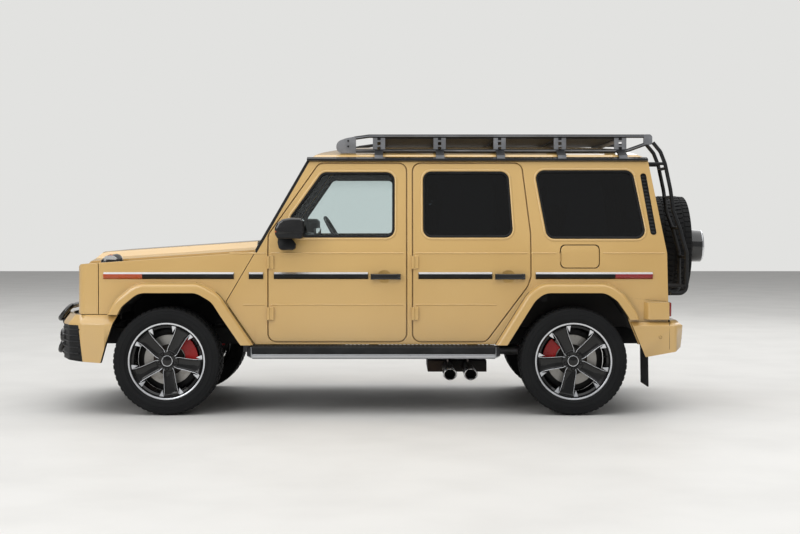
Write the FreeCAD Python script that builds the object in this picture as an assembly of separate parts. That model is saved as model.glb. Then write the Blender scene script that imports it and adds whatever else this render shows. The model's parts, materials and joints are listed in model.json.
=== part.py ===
import FreeCAD, Part
import math
import os
from FreeCAD import Vector

os.makedirs("parts", exist_ok=True)

# Lifted off-road 4x4, in millimetres. X runs to the tail, Y to the vehicle's right, Z up.
# The origin is on the floor under the centre of the whole vehicle.

# Stance: overhangs, wheelbase and wheels
front_overhang = 908.0
wheelbase = 2890.0
rear_overhang = 1102.0
overall_width = 2186.0
wheel_tuck = 83.0
tyre_diameter = 768.0
tyre_width = 275.0
overall_length = front_overhang + wheelbase + rear_overhang

front_axle_x = front_overhang - overall_length / 2
rear_axle_x = front_axle_x + wheelbase
hub_z = tyre_diameter / 2
nose_tip_x = -overall_length / 2
tail_tip_x = overall_length / 2

# Gaps and overruns shared by all pieces
overrun = 60.0
overlap = 2.0
seat_gap = 0.3
running_gap = 0.5
shut_gap = 8.0
seam_gap = 4.0
moving_gap = 6.0

# Body section at each crease from the sill to the roof: the belt is the widest, inside the mirrors
mirror_reach = 188.0
sill_tuck = 10.0
swage_tuck = 5.0
gutter_tuck = 130.0
roof_edge_tuck = 205.0
sill_z = 500.0
swage_z = 784.0
belt_z = 1151.0
roof_z = 1950.0
gutter_drop = 135.0
roof_edge_drop = 90.0
belt_half = overall_width / 2 - mirror_reach
sill_half = belt_half - sill_tuck
swage_half = belt_half - swage_tuck
gutter_half = belt_half - gutter_tuck
roof_edge_half = belt_half - roof_edge_tuck
gutter_z = roof_z - gutter_drop
roof_edge_z = roof_z - roof_edge_drop
wheel_y = belt_half - wheel_tuck
wall = 70.0
skin = 22.0
roof_wall = 30.0

# Body stations along the vehicle
nose_inset = 262.0
nose_length = 153.0
axle_to_cowl = 624.0
cowl_to_door = 97.0
front_door_share = 0.54
pillar_width = 50.0
quarter_before_axle = 304.0
tail_inset = 423.0

nose_x = nose_tip_x + nose_inset
fender_front_x = nose_x + nose_length
cowl_x = front_axle_x + axle_to_cowl
front_door_x = cowl_x + cowl_to_door
quarter_x = rear_axle_x - quarter_before_axle
door_run = quarter_x - front_door_x - pillar_width
front_door_length = door_run * front_door_share
pillar_x = front_door_x + front_door_length
rear_door_x = pillar_x + pillar_width
rear_door_length = quarter_x - rear_door_x
tail_x = tail_tip_x - tail_inset
cabin_length = quarter_x - cowl_x

# Windscreen and roof line
cowl_z = 1173.0
screen_top_drop = 131.0
screen_rake = 363.0
tail_top_run = 126.0
tail_top_drop = 119.0
tail_lean = 9.0
tail_foot_z = 804.0
screen_top_x = cowl_x + screen_rake
screen_top_z = roof_z - screen_top_drop
tail_top_z = roof_z - tail_top_drop
tail_top_x = tail_x - tail_top_run
roof_length = tail_top_x - screen_top_x
roof_rise = roof_z - screen_top_z


# Geometry helpers

def at_side(u, v):
    return Vector(u, 0, v)


def at_front(u, v):
    return Vector(0, u, v)


def at_plan(u, v):
    return Vector(u, v, 0)


def corner_cut(before, corner, after, radius):
    to_before = (before[0] - corner[0], before[1] - corner[1])
    to_after = (after[0] - corner[0], after[1] - corner[1])
    run_before = math.hypot(*to_before)
    run_after = math.hypot(*to_after)
    a = (to_before[0] / run_before, to_before[1] / run_before)
    b = (to_after[0] / run_after, to_after[1] / run_after)
    dot = max(-1.0, min(1.0, a[0] * b[0] + a[1] * b[1]))
    half = math.acos(dot) / 2
    reach = min(radius / math.tan(half), 0.48 * run_before, 0.48 * run_after)
    used = reach * math.tan(half)
    middle = (a[0] + b[0], a[1] + b[1])
    size = math.hypot(*middle)
    bisector = (middle[0] / size, middle[1] / size) if size > 0 else (0, 0)
    depth = used / math.sin(half) - used
    start = (corner[0] + a[0] * reach, corner[1] + a[1] * reach)
    mid = (corner[0] + bisector[0] * depth, corner[1] + bisector[1] * depth)
    end = (corner[0] + b[0] * reach, corner[1] + b[1] * reach)
    return start, mid, end


def outline(points, radii, place):
    # Closed wire through the points, each corner rounded by a tangent arc
    if not isinstance(radii, (list, tuple)):
        radii = [radii] * len(points)
    cuts = []
    for i, corner in enumerate(points):
        after = points[(i + 1) % len(points)]
        if radii[i] > 0:
            cuts.append(corner_cut(points[i - 1], corner, after, radii[i]))
        else:
            cuts.append((corner, None, corner))
    edges = []
    for i, (start, mid, end) in enumerate(cuts):
        last = cuts[i - 1][2]
        if math.hypot(start[0] - last[0], start[1] - last[1]) > 1e-6:
            edges.append(Part.LineSegment(place(*last), place(*start)).toShape())
        if mid is not None:
            edges.append(Part.Arc(place(*start), place(*mid), place(*end)).toShape())
    return Part.Wire(edges)


def grown(points, distance):
    # The outline's points moved outwards by a distance, or inwards where it is negative
    area = 0
    for (x0, z0), (x1, z1) in zip(points, points[1:] + points[:1]):
        area += x0 * z1 - x1 * z0
    sign = 1 if area > 0 else -1
    moved = []
    for i, corner in enumerate(points):
        before = points[i - 1]
        after = points[(i + 1) % len(points)]
        d0 = (corner[0] - before[0], corner[1] - before[1])
        d1 = (after[0] - corner[0], after[1] - corner[1])
        n0 = (sign * d0[1] / math.hypot(*d0), -sign * d0[0] / math.hypot(*d0))
        n1 = (sign * d1[1] / math.hypot(*d1), -sign * d1[0] / math.hypot(*d1))
        scale = distance / (1 + n0[0] * n1[0] + n0[1] * n1[1])
        moved.append((corner[0] + (n0[0] + n1[0]) * scale, corner[1] + (n0[1] + n1[1]) * scale))
    return moved


def side_slab(points, radii, y0, y1):
    # An outline seen from the side, extruded across the vehicle
    wire = outline(points, radii, at_side)
    wire.translate(Vector(0, y0, 0))
    return Part.Face(wire).extrude(Vector(0, y1 - y0, 0))


def front_slab(points, radii, x0, x1):
    # An outline seen from the front, extruded along the vehicle
    wire = outline(points, radii, at_front)
    wire.translate(Vector(x0, 0, 0))
    return Part.Face(wire).extrude(Vector(x1 - x0, 0, 0))


def plan_slab(points, radii, z0, z1):
    # An outline seen from above, extruded upwards
    wire = outline(points, radii, at_plan)
    wire.translate(Vector(0, 0, z0))
    return Part.Face(wire).extrude(Vector(0, 0, z1 - z0))


def block(x0, x1, y0, y1, z0, z1):
    return Part.makeBox(x1 - x0, y1 - y0, z1 - z0, Vector(x0, y0, z0))


def rectangle(u0, u1, v0, v1):
    return [(u0, v0), (u1, v0), (u1, v1), (u0, v1)]


def rod(start, end, radius):
    run = end - start
    return Part.makeCylinder(radius, run.Length, start, run)


def bent_tube(points, bend, radius):
    # A round bar along straight runs joined by tangent arcs
    edges = []
    last = points[0]
    for i in range(1, len(points) - 1):
        corner = points[i]
        back = points[i - 1] - corner
        ahead = points[i + 1] - corner
        run = min(back.Length, ahead.Length)
        back.normalize()
        ahead.normalize()
        half = back.getAngle(ahead) / 2
        reach = min(bend / math.tan(half), 0.48 * run)
        used = reach * math.tan(half)
        bisector = back + ahead
        bisector.normalize()
        start = corner + back * reach
        end = corner + ahead * reach
        mid = corner + bisector * (used / math.sin(half) - used)
        edges.append(Part.LineSegment(last, start).toShape())
        edges.append(Part.Arc(start, mid, end).toShape())
        last = end
    edges.append(Part.LineSegment(last, points[-1]).toShape())
    path = Part.Wire(edges)
    circle = Part.Wire(Part.Circle(points[0], points[1] - points[0], radius).toShape())
    return path.makePipeShell([circle], True, False)


def ring_tube(points, bend, radius):
    # A closed loop of round bar: runs with arcs at every corner
    middle = (points[0] + points[1]) * 0.5
    return bent_tube([middle] + points[1:] + [points[0], middle], bend, radius)


def spin(points, radii, angle=360):
    # An outline of radius against width, turned about the Y axis
    return Part.Face(outline(points, radii, at_plan)).revolve(Vector(0, 0, 0), Vector(0, 1, 0), angle)


def mirrored(shape):
    return shape.mirror(Vector(0, 0, 0), Vector(0, 1, 0))


def moved(shape, x, y, z):
    copy = shape.copy()
    copy.translate(Vector(x, y, z))
    return copy


def turned(shape, centre, axis, angle):
    copy = shape.copy()
    copy.rotate(centre, axis, angle)
    return copy


def join(*shapes):
    return shapes[0].fuse(list(shapes[1:])).removeSplitter()


def keep(node, *shapes):
    solids = [solid for shape in shapes for solid in shape.Solids]
    Part.makeCompound(solids).exportStep("parts/" + node + ".step")
    print(node, len(solids), all(solid.isValid() for solid in solids))


# Body forms shared by the shell, doors and glass

def half_width(z):
    points = [(sill_half, sill_z), (swage_half, swage_z), (belt_half, belt_z), (gutter_half, gutter_z)]
    for (h0, z0), (h1, z1) in zip(points, points[1:]):
        if z <= z1:
            return h0 + (h1 - h0) * (z - z0) / (z1 - z0)
    return gutter_half


def tunnel(inset, roof_inset, drop=0.0):
    # The body's cross-section, set in by the given amounts, run the whole length
    right = [(sill_half - inset, sill_z - drop), (swage_half - inset, swage_z), (belt_half - inset, belt_z),
             (gutter_half - inset, gutter_z), (roof_edge_half - inset, roof_edge_z - roof_inset)]
    left = [(-y, z) for y, z in reversed(right)]
    edges = []
    for (y0, z0), (y1, z1) in zip(right, right[1:]):
        edges.append(Part.LineSegment(at_front(y0, z0), at_front(y1, z1)).toShape())
    crown = at_front(0, roof_z - roof_inset)
    edges.append(Part.Arc(at_front(*right[-1]), crown, at_front(*left[0])).toShape())
    for (y0, z0), (y1, z1) in zip(left, left[1:] + right[:1]):
        edges.append(Part.LineSegment(at_front(y0, z0), at_front(y1, z1)).toShape())
    face = Part.Face(Part.Wire(edges))
    face.translate(Vector(nose_tip_x, 0, 0))
    return face.extrude(Vector(overall_length, 0, 0))


# Roof silhouette from the windscreen header to the tail: share of length, share of rise
roof_line_shares = [(0.0, 0.0), (0.035, 0.45), (0.12, 0.82), (0.3, 1.0), (0.75, 1.0), (0.93, 0.75),
                    (1.0, 0.09)]


def body_profile(inset):
    roof = [(screen_top_x + u * roof_length, screen_top_z + v * roof_rise) for u, v in roof_line_shares]
    front = [(cowl_x, sill_z - overrun), (cowl_x, cowl_z)]
    back = [(tail_x - tail_lean, belt_z), (tail_x, tail_foot_z), (tail_x, sill_z - overrun)]
    return [(x - inset, z) for x, z in front + roof] + [(x - inset, z) for x, z in back]


roof_round = 220.0
tunnels = {
    "outer": tunnel(0, 0),
    "skin": tunnel(skin, skin, overrun),
    "flange": tunnel(skin + moving_gap, skin + moving_gap, overrun),
    "inner": tunnel(wall, roof_wall, overrun),
}
profile_points = body_profile(0)
profile_radii = [0, 0, 0, roof_round, roof_round, roof_round, roof_round, roof_round, 0, 0, 0, 0]
body_slab = side_slab(profile_points, profile_radii, -overall_width, overall_width)
cabin = tunnels["outer"].common(body_slab)


def set_back(distance):
    # The cabin's outside moved forward by a distance, to measure depth from the tail's slanted face
    return moved(body_slab, -distance, 0, 0)


# Door outlines, as shares of each door's length and height
door_foot_z = 522.0
door_top_drop = 21.0
door_top_z = gutter_z - door_top_drop
door_round = 57.0
door_height = door_top_z - door_foot_z
box_inset = 30.0
flange_inset = 22.0
front_door_shares = [(0.0, 0.0), (1.0, 0.0), (1.0, 1.0), (0.365, 1.0), (0.0, 0.596)]
front_window_shares = [(0.14, 0.583), (0.915, 0.583), (0.915, 0.95), (0.385, 0.95), (0.157, 0.70)]
rear_door_shares = [(0.0, 0.0), (0.62, 0.0), (0.971, 0.307), (1.0, 0.361), (1.0, 0.604), (0.932, 1.0),
                    (0.0, 1.0)]
rear_window_shares = [(0.087, 0.583), (0.854, 0.583), (0.82, 0.954), (0.087, 0.954)]
quarter_window_shares = [(0.125, 0.576), (0.845, 0.576), (0.755, 0.961), (0.04, 0.961)]
window_round = 60.0


def shares_to_side(shares, x, length, z, height):
    return [(x + u * length, z + v * height) for u, v in shares]


front_door_points = shares_to_side(front_door_shares, front_door_x, front_door_length, door_foot_z,
                                   door_height)
front_window_points = shares_to_side(front_window_shares, front_door_x, front_door_length, door_foot_z,
                                     door_height)
rear_door_points = shares_to_side(rear_door_shares, rear_door_x, rear_door_length, door_foot_z, door_height)
rear_window_points = shares_to_side(rear_window_shares, rear_door_x, rear_door_length, door_foot_z,
                                    door_height)
quarter_length = tail_x - quarter_x
quarter_window_points = shares_to_side(quarter_window_shares, quarter_x, quarter_length, door_foot_z,
                                       door_height)
glass_depth = 14.0
glass_thickness = 5.0
glass_layer = tunnel(glass_depth, glass_depth).cut(tunnel(glass_depth + glass_thickness, glass_depth,
                                                          overrun))


def left_side(points, radii):
    return side_slab(points, radii, -overall_width / 2, -sill_half / 2)


# Wheel arches, as shares of the half opening and of the height above the hub
arch_reach = 490.0
arch_height = 486.0
flare_reach = 80.0
flare_y = belt_half + flare_reach
flare_width = 74.0
flare_ring_shares = [(1.0, 0.0), (0.93, 0.72), (0.78, 0.92), (0.5, 1.0)]
front_arch_shares = [(-1.02, -0.3), (-0.86, 0.27), (-0.77, 0.54), (-0.64, 0.8), (-0.4, 1.0), (0.44, 1.0),
                     (0.66, 0.87), (0.8, 0.65), (1.19, 0.08), (1.19, -1.0), (-1.02, -1.0)]
rear_arch_shares = [(-1.25, -0.22), (-0.56, 0.89), (-0.42, 1.0), (0.46, 1.0), (0.63, 0.88), (0.78, 0.66),
                    (0.965, 0.21), (1.06, -0.02), (1.06, -1.0), (-1.25, -1.0)]
arch_round = 130.0
bumper_round = 40.0
bumper_wrap_share = 0.64
tail_wrap_share = 0.7
bumper_back_x = front_axle_x - arch_reach * bumper_wrap_share
bumper_head_z = 712.0
tail_bumper_start_x = rear_axle_x + arch_reach * tail_wrap_share
tail_bumper_head_z = 674.0


def arch_points(axle_x, extra=0.0):
    shares = front_arch_shares if axle_x == front_axle_x else rear_arch_shares
    points = [(axle_x + u * arch_reach, hub_z + v * arch_height) for u, v in shares]
    return grown(points, extra) if extra else points


def arch_radii(points, extra=0.0):
    return [arch_round + extra] * (len(points) - 2) + [0, 0]


def arch_slab(axle_x, extra, y0, y1):
    points = arch_points(axle_x, extra)
    return side_slab(points, arch_radii(points, extra), y0, y1)


def flare(axle_x):
    # Left flare: full width at the skin, drawn in over a rounded shoulder to its lip
    rings = []
    for width_share, reach_share in flare_ring_shares:
        width = flare_width * width_share
        points = arch_points(axle_x, width)
        wire = outline(points, arch_radii(points, width), at_side)
        wire.translate(Vector(0, -sill_half + skin - reach_share * (flare_y - sill_half + skin), 0))
        rings.append(wire)
    form = Part.makeLoft(rings, True, True)
    under = block(nose_tip_x, tail_tip_x, -overall_width, 0, -roof_z, sill_z)
    opening = arch_slab(axle_x, 0, -overall_width, 0)
    return form.cut([opening, under])


# Ladder frame
rail_outer_y = 440.0
rail_width = 80.0
rail_foot_z = 470.0
rail_height = 120.0
rail_front_inset = 60.0
rail_tail_inset = 25.0
cross_member_width = 90.0
cross_member_shares = [0.02, 0.21, 0.49, 0.62, 0.80, 0.99]
rail_front_x = nose_x - rail_front_inset
rail_tail_x = tail_x - rail_tail_inset
rail_top_z = rail_foot_z + rail_height
body_mount_radius = 38.0
floor_z = 606.0
floor_thickness = 16.0
body_mount_shares = [0.36, 0.55, 0.75, 0.93]

# Recovery eyes on the tail cross member
eye_bore_radius = 15.0
eye_thickness = 24.0
eye_length = 175.0


def frame_x(share, width):
    return rail_front_x + share * (rail_tail_x - rail_front_x - width)


def recovery_eye(x, y):
    plate = block(x, x + eye_length, y - eye_thickness / 2, y + eye_thickness / 2, rail_foot_z,
                  rail_foot_z + rail_width)
    tip = Vector(x + eye_length, y - eye_thickness / 2, rail_foot_z + rail_width / 2)
    nose = Part.makeCylinder(rail_width / 2, eye_thickness, tip, Vector(0, 1, 0))
    bore = Part.makeCylinder(eye_bore_radius, overrun + eye_thickness, tip - Vector(0, overrun / 2, 0),
                             Vector(0, 1, 0))
    return plate.fuse(nose).cut(bore)


def ladder_frame():
    pieces = []
    inner_y = rail_outer_y - rail_width
    for side in (-1, 1):
        y0, y1 = sorted((side * inner_y, side * rail_outer_y))
        pieces.append(block(rail_front_x, rail_tail_x, y0, y1, rail_foot_z, rail_top_z))
        for share in body_mount_shares:
            foot = Vector(frame_x(share, 0), side * (rail_outer_y - rail_width / 2), rail_top_z)
            pieces.append(rod(foot, foot + Vector(0, 0, floor_z - rail_top_z), body_mount_radius))
        pieces.append(recovery_eye(rail_tail_x, side * (rail_outer_y - rail_width / 2)))
    for share in cross_member_shares:
        x = frame_x(share, cross_member_width)
        pieces.append(block(x, x + cross_member_width, -inner_y, inner_y, rail_foot_z, rail_top_z))
    keep("ladder_frame", join(*pieces))


# Floor, firewall, cowl and rear wheel houses
firewall_thickness = 20.0
cowl_depth = 46.0
cowl_height = 44.0
cowl_gap = 12.0
house_wall = 8.0
rear_house_tuck = 210.0
rear_house_y = wheel_y - rear_house_tuck
floor_tail_inset = 70.0


def body_tub():
    inner = tunnels["inner"]
    floor = block(cowl_x, tail_x - floor_tail_inset, -overall_width / 2, overall_width / 2,
                  floor_z, floor_z + floor_thickness).common(inner)
    firewall = block(cowl_x, cowl_x + firewall_thickness, -overall_width / 2, overall_width / 2,
                     floor_z, cowl_z - cowl_gap).common(inner)
    shelf_half = bonnet_half + moving_gap - seat_gap
    shelf = block(cowl_x - cowl_depth, cowl_x + firewall_thickness, -shelf_half, shelf_half,
                  belt_z - cowl_height, belt_z - cowl_height / 2).common(inner)
    tub = join(floor, firewall, shelf)
    for side in (-1, 1):
        y0, y1 = sorted((side * rear_house_y, side * overall_width / 2))
        inside = arch_slab(rear_axle_x, 0, *sorted((side * (rear_house_y + house_wall),
                                                    side * overall_width)))
        house = arch_slab(rear_axle_x, house_wall, y0, y1).common(inner)
        above = block(nose_tip_x, tail_tip_x, y0, y1, floor_z, gutter_z)
        tub = join(tub, house.common(above)).cut(inside)
    keep("body_tub", tub)


# Side walls with their pillars, tail return and windscreen posts
screen_post = 74.0
screen_frame = 60.0
header_depth = 46.0
tail_frame = 60.0
rear_door_tuck = 185.0
rear_door_top_tuck = 70.0
rear_door_foot_z = 690.0
rear_door_head_drop = 25.0
rear_door_half = belt_half - rear_door_tuck
rear_door_top_half = rear_door_half - rear_door_top_tuck
rear_door_head_z = gutter_z - rear_door_head_drop
rear_door_round = 50.0
flap_shares = [(0.22, 0.411), (0.50, 0.411), (0.50, 0.54), (0.22, 0.54)]
flap_round = 34.0
flap_thickness = 10.0
pocket_depth = 50.0
flap_pin_radius = 2.5
flap_pin_length = 50.0
flap_pin_rise = 50.2
flap_lug_height = 8.0
flap_points = shares_to_side(flap_shares, quarter_x, quarter_length, door_foot_z, door_height)
flap_pin_z = flap_points[0][1] + flap_pin_rise
vent_shares = [(0.813, 0.943), (0.854, 0.943), (0.920, 0.598), (0.879, 0.598)]
vent_points = shares_to_side(vent_shares, quarter_x, quarter_length, door_foot_z, door_height)
vent_round = 18.0
vent_depth = 10.0
housing_length = 187.0
housing_share = 0.78
housing_proud = 46.0
housing_round = 30.0
seam_run = 206.0
seam_foot_z = 801.0
seam_points = [(cowl_x + overlap, belt_z), (cowl_x, belt_z), (cowl_x - seam_run, seam_foot_z),
               (cowl_x - seam_run, sill_z),
               (cowl_x + overlap, sill_z)]


def rear_door_points_grown(extra):
    half = rear_door_half
    points = [(-half, rear_door_foot_z), (half, rear_door_foot_z), (half, belt_z),
              (rear_door_top_half, rear_door_head_z), (-rear_door_top_half, rear_door_head_z), (-half,
                                                                                                belt_z)]
    return grown(points, extra) if extra else points


def tail_opening(extra):
    return front_slab(rear_door_points_grown(extra), rear_door_round, 0, tail_tip_x)


def screen_points(extra):
    foot = half_width(cowl_z) - screen_post
    head = half_width(screen_top_z) - screen_post
    points = [(-foot, cowl_z), (foot, cowl_z), (head, screen_top_z - header_depth),
              (-head, screen_top_z - header_depth)]
    return grown(points, extra) if extra else points


def cabin_shell():
    # The tube of walls and roof, with the tail frame and the windscreen frame
    tube = cabin.cut(tunnels["inner"])
    tail_frame_slab = cabin.cut(set_back(tail_frame)).common(
        block(0, tail_tip_x, -overall_width, overall_width, floor_z, roof_z + overrun))
    tail_frame_slab = tail_frame_slab.cut([
        tail_opening(shut_gap).cut(set_back(skin + moving_gap)), tail_opening(-flange_inset)])
    front_frame = cabin.cut(moved(body_slab, screen_frame, 0, 0)).common(
        block(nose_tip_x, 0, -overall_width, overall_width, cowl_z, roof_z + overrun))
    front_frame = front_frame.cut(front_slab(screen_points(0), window_round, nose_tip_x, 0))
    return tube.fuse([tail_frame_slab, front_frame]).removeSplitter()


def door_cut(points):
    outer = left_side(grown(points, shut_gap), door_round + shut_gap).cut(tunnels["flange"])
    inner = left_side(grown(points, -flange_inset), door_round)
    return [outer, inner]


def cowl_side():
    # The side of the cowl, between the wing's slanted seam, the front flare and the door
    skin_layer = front_form(0).cut(front_form(fender_skin))
    outside = block(nose_tip_x, 0, -overall_width, -belt_half + fender_skin, sill_z, belt_z)
    panel = side_slab(seam_points, 0, -overall_width, 0).common(skin_layer).common(outside)
    return panel.cut(arch_slab(front_axle_x, flare_width + seam_gap, -overall_width, 0))


def side_strip(x0, x1):
    # A rubbing strip on the left side, with bevelled edges
    y = half_width(strip_z)
    half = strip_height / 2
    section = [(-y + skin / 2, strip_z - half), (-y + skin / 2, strip_z + half), (-y, strip_z + half),
               (-y - strip_proud, strip_z + half / 2), (-y - strip_proud, strip_z - half / 2),
               (-y, strip_z - half)]
    return front_slab(section, 0, x0, x1)


def lamp_housing():
    # The bulge that carries the left tail lamp
    y_in = -swage_half + skin
    y_out = -swage_half - housing_proud
    points = [(tail_x - housing_length, y_in), (tail_x - housing_length * housing_share, y_out),
              (tail_x, y_out), (tail_x, y_in)]
    foot_z = tail_bumper_head_z + moving_gap
    return plan_slab(points, [0, housing_round, 0, 0], foot_z, tail_lamp_z + tail_lamp_height)


def body_sides(shell):
    below = block(nose_tip_x, tail_tip_x, -overall_width, 0, 0, gutter_z)
    left = shell.common(below)
    cuts = door_cut(front_door_points) + door_cut(rear_door_points)
    cuts.append(left_side(quarter_window_points, window_round))
    cuts.append(arch_slab(rear_axle_x, 0, -overall_width, -rail_outer_y))
    plain = left.cut(cuts)
    bumper_room = block(tail_bumper_start_x - moving_gap, tail_tip_x, -overall_width, -sill_half - overlap,
                        0, tail_bumper_head_z + moving_gap)
    vent = left_side(vent_points, vent_round).cut(tunnel(vent_depth, 0))
    rear_strip = side_strip(quarter_x + strip_inset, tail_x - strip_tail_inset)
    cowl_strip = side_strip(front_door_x - strip_inset - cowl_strip_length, front_door_x - strip_inset)
    flared = join(plain, flare(rear_axle_x).cut([tunnels["inner"], bumper_room]), cowl_side(),
                  lamp_housing(),
                  rear_strip, cowl_strip).cut(vent)
    flap_hole = left_side(grown(flap_points, moving_gap / 2), flap_round).cut(tunnel(pocket_depth, 0))
    lugs = []
    for z in (flap_pin_z - running_gap - flap_lug_height, flap_pin_z + flap_pin_length + running_gap):
        x = flap_points[0][0]
        lugs.append(block(x - moving_gap, x + flap_pin_radius, -belt_half, -belt_half + flap_thickness, z,
                          z + flap_lug_height))
    keep("body_side_left", join(flared.cut(flap_hole), *lugs))
    keep("body_side_right", mirrored(flared))


def roof_panel(shell):
    above = block(nose_tip_x, tail_tip_x, -overall_width, overall_width, gutter_z, roof_z + overrun)
    keep("roof_panel", shell.common(above))


# Drip rails along the roof's edges
drip_width = 22.0
drip_height = 28.0


def drip_rails():
    y0 = gutter_half + seat_gap
    bar = [(y0, gutter_z - drip_height / 3), (y0 + drip_width, gutter_z),
           (y0 + drip_width, gutter_z + drip_height / 2),
           (y0 - drip_width, gutter_z + drip_height), (y0 - drip_width / 2, gutter_z + drip_height / 2)]
    right = front_slab(bar, 0, screen_top_x, tail_top_x).cut(cabin)
    keep("drip_rails", right, mirrored(right))


# Fixed glass: windscreen and quarter windows
def fixed_glass():
    screen = front_slab(screen_points(-seat_gap), window_round, nose_tip_x, 0)
    layer = moved(body_slab, glass_depth, 0, 0).cut(moved(body_slab, glass_depth + glass_thickness, 0, 0))
    screen = screen.common(layer)
    quarter = left_side(grown(quarter_window_points, -seat_gap), window_round).common(glass_layer)
    keep("fixed_glass", screen, quarter, mirrored(quarter))


# Doors with outside handles, hinges and rubbing strips
hinge_outboard = 12.0
hinge_height = 92.0
hinge_radius = 11.0
hinge_shares = [0.157, 0.444]
handle_length = 214.0
handle_height = 40.0
handle_reach = 36.0
handle_bar = 18.0
handle_foot = 22.0
handle_z = 984.0
dish_sphere = 84.0
dish_depth = 16.0
dish_share = 0.45
strip_z = 991.0
strip_height = 48.0
strip_proud = 14.0
strip_inset = 38.0
strip_tail_inset = 112.0
cowl_strip_length = 102.0


def door(points, front_x, length):
    layer_skin = tunnels["outer"].cut(tunnels["skin"])
    layer_box = tunnels["skin"].cut(tunnels["inner"])
    panel = left_side(points, door_round).common(layer_skin)
    inside = left_side(grown(points, -box_inset), door_round).common(layer_box)
    pieces = [panel, inside]
    handle_x = front_x + length - strip_inset - handle_length
    handle_foot_z = handle_z - handle_height / 2
    skin_y = -half_width(handle_z)
    face_y = skin_y - handle_reach
    pieces.append(side_strip(front_x + strip_inset, handle_x - strip_inset / 2))
    for x in (handle_x, handle_x + handle_length - handle_foot):
        pieces.append(block(x, x + handle_foot, face_y, skin_y + skin / 2, handle_foot_z,
                            handle_foot_z + handle_height))
    grip = block(handle_x, handle_x + handle_length, face_y, face_y + handle_bar, handle_foot_z,
                 handle_foot_z + handle_height)
    pieces.append(grip.makeChamfer(handle_bar / 4, [edge for edge in grip.Edges
                                                    if edge.BoundBox.YMax < face_y + overlap]))
    for share in hinge_shares:
        z = door_foot_z + share * door_height
        pin = Vector(front_x, -belt_half - hinge_outboard, z - hinge_height / 2)
        pieces.append(rod(pin, pin + Vector(0, 0, hinge_height), hinge_radius))
        pieces.append(block(front_x, front_x + strip_inset, -belt_half - hinge_outboard,
                            -swage_half + skin / 2,
                            z - hinge_height / 2, z + hinge_height / 2))
    middle = Vector(handle_x + dish_share * handle_length, skin_y - dish_sphere + dish_depth, handle_z)
    dish = Part.makeSphere(dish_sphere, middle)
    return join(pieces[0].cut(dish), *pieces[1:])


def side_doors():
    openings = {
        "front": (front_door_points, front_window_points, front_door_x, front_door_length),
        "rear": (rear_door_points, rear_window_points, rear_door_x, rear_door_length),
    }
    for name, (points, window, x, length) in openings.items():
        left = door(points, x, length).cut(left_side(window, window_round))
        glass = left_side(grown(window, -seat_gap), window_round).common(glass_layer)
        keep("door_" + name + "_left", left)
        keep("door_" + name + "_right", mirrored(left))
        keep("glass_" + name + "_left", glass)
        keep("glass_" + name + "_right", mirrored(glass))


# Door mirrors: a housing on a foot
mirror_start = 55.0
mirror_length = 209.0
mirror_foot_z = 1169.0
mirror_low_z = 1250.0
mirror_high_z = 1405.0
mirror_gap = 20.0
mirror_inner_y = belt_half + mirror_gap
mirror_round = 46.0
mirror_foot_inset = 14.0
mirror_foot_length = 136.0
mirror_foot_reach = 90.0


def mirrors():
    x = front_door_x + mirror_start
    y_tip = overall_width / 2
    housing = front_slab(rectangle(-y_tip, -mirror_inner_y, mirror_low_z, mirror_high_z), mirror_round, x,
                         x + mirror_length)
    housing = housing.makeFillet(mirror_round / 2, housing.Edges)
    skin_y = half_width(mirror_foot_z) + seat_gap
    foot = [(-skin_y, mirror_foot_z), (-skin_y - mirror_foot_reach, mirror_low_z - mirror_round / 2),
            (-skin_y - mirror_foot_reach, mirror_low_z + mirror_round),
            (-half_width(mirror_low_z) - seat_gap, mirror_low_z)]
    foot_x = x + mirror_foot_inset
    left = join(housing, front_slab(foot, 0, foot_x, foot_x + mirror_foot_length))
    keep("mirror_left", left)
    keep("mirror_right", mirrored(left))


# Front wings, nose, bonnet and grille
fender_crown = 166.0
bonnet_half = belt_half - fender_crown
fender_skin = 30.0
fender_front_z = 1071.0
fender_slope_rise = 88.0
fender_rear_gap = 8.0
front_house_y = 464.0
front_foot_z = 620.0
bonnet_lift_edge = 14.0
bonnet_lift_shoulder = 30.0
bonnet_lift = 76.0
bonnet_shoulder = 99.0
bonnet_dome_edge = 80.0
bonnet_shoulder_half = bonnet_half - bonnet_shoulder
bonnet_dome_half = bonnet_shoulder_half - bonnet_dome_edge
bonnet_thickness = 26.0
bonnet_round = 90.0
bonnet_front_inset = 22.0
bonnet_rear_gap = 12.0
wing_strip_inset = 150.0
blister_length = 150.0
blister_width = 74.0
blister_height = 66.0
blister_tuck = 67.0
blister_y = belt_half - blister_tuck
blister_shares = [(0.0, 0.0), (1.0, 0.0), (1.0, 0.35), (0.66, 1.0), (0.3, 1.0), (0.0, 0.45)]
blister_round = 14.0
blister_plan_share = 0.45
slope_run = cowl_x - nose_x


def fender_top_z(x):
    return fender_front_z + (x - nose_x) / slope_run * fender_slope_rise


def front_form(inset):
    # The nose and wings as one mass under their sloping top
    top = side_slab([(nose_x + inset, 0), (nose_x + inset, fender_front_z - inset),
                     (cowl_x, fender_top_z(cowl_x) - inset), (cowl_x, 0)], [0, nose_round, 0, 0],
                    -overall_width, overall_width)
    half = belt_half - inset
    plan = plan_slab([(nose_x + inset, -half), (nose_x + inset, half), (cowl_x + overrun, half),
                      (cowl_x + overrun, -half)],
                     [nose_corner, nose_corner, 0, 0], 0, roof_z)
    return tunnel(inset, inset, overrun).common(top).common(plan)


nose_round = 36.0
nose_corner = 90.0
lamp_tuck = 265.0
lamp_y = belt_half - lamp_tuck
lamp_z = 892.0
lamp_radius = 104.0
lamp_length = 96.0
lamp_bezel = 14.0
grille_tuck = 172.0
grille_half = lamp_y - grille_tuck
grille_foot_z = 742.0
grille_head_z = 1036.0
grille_round = 40.0
nose_foot_z = bumper_head_z + seam_gap
support_depth = 40.0


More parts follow.
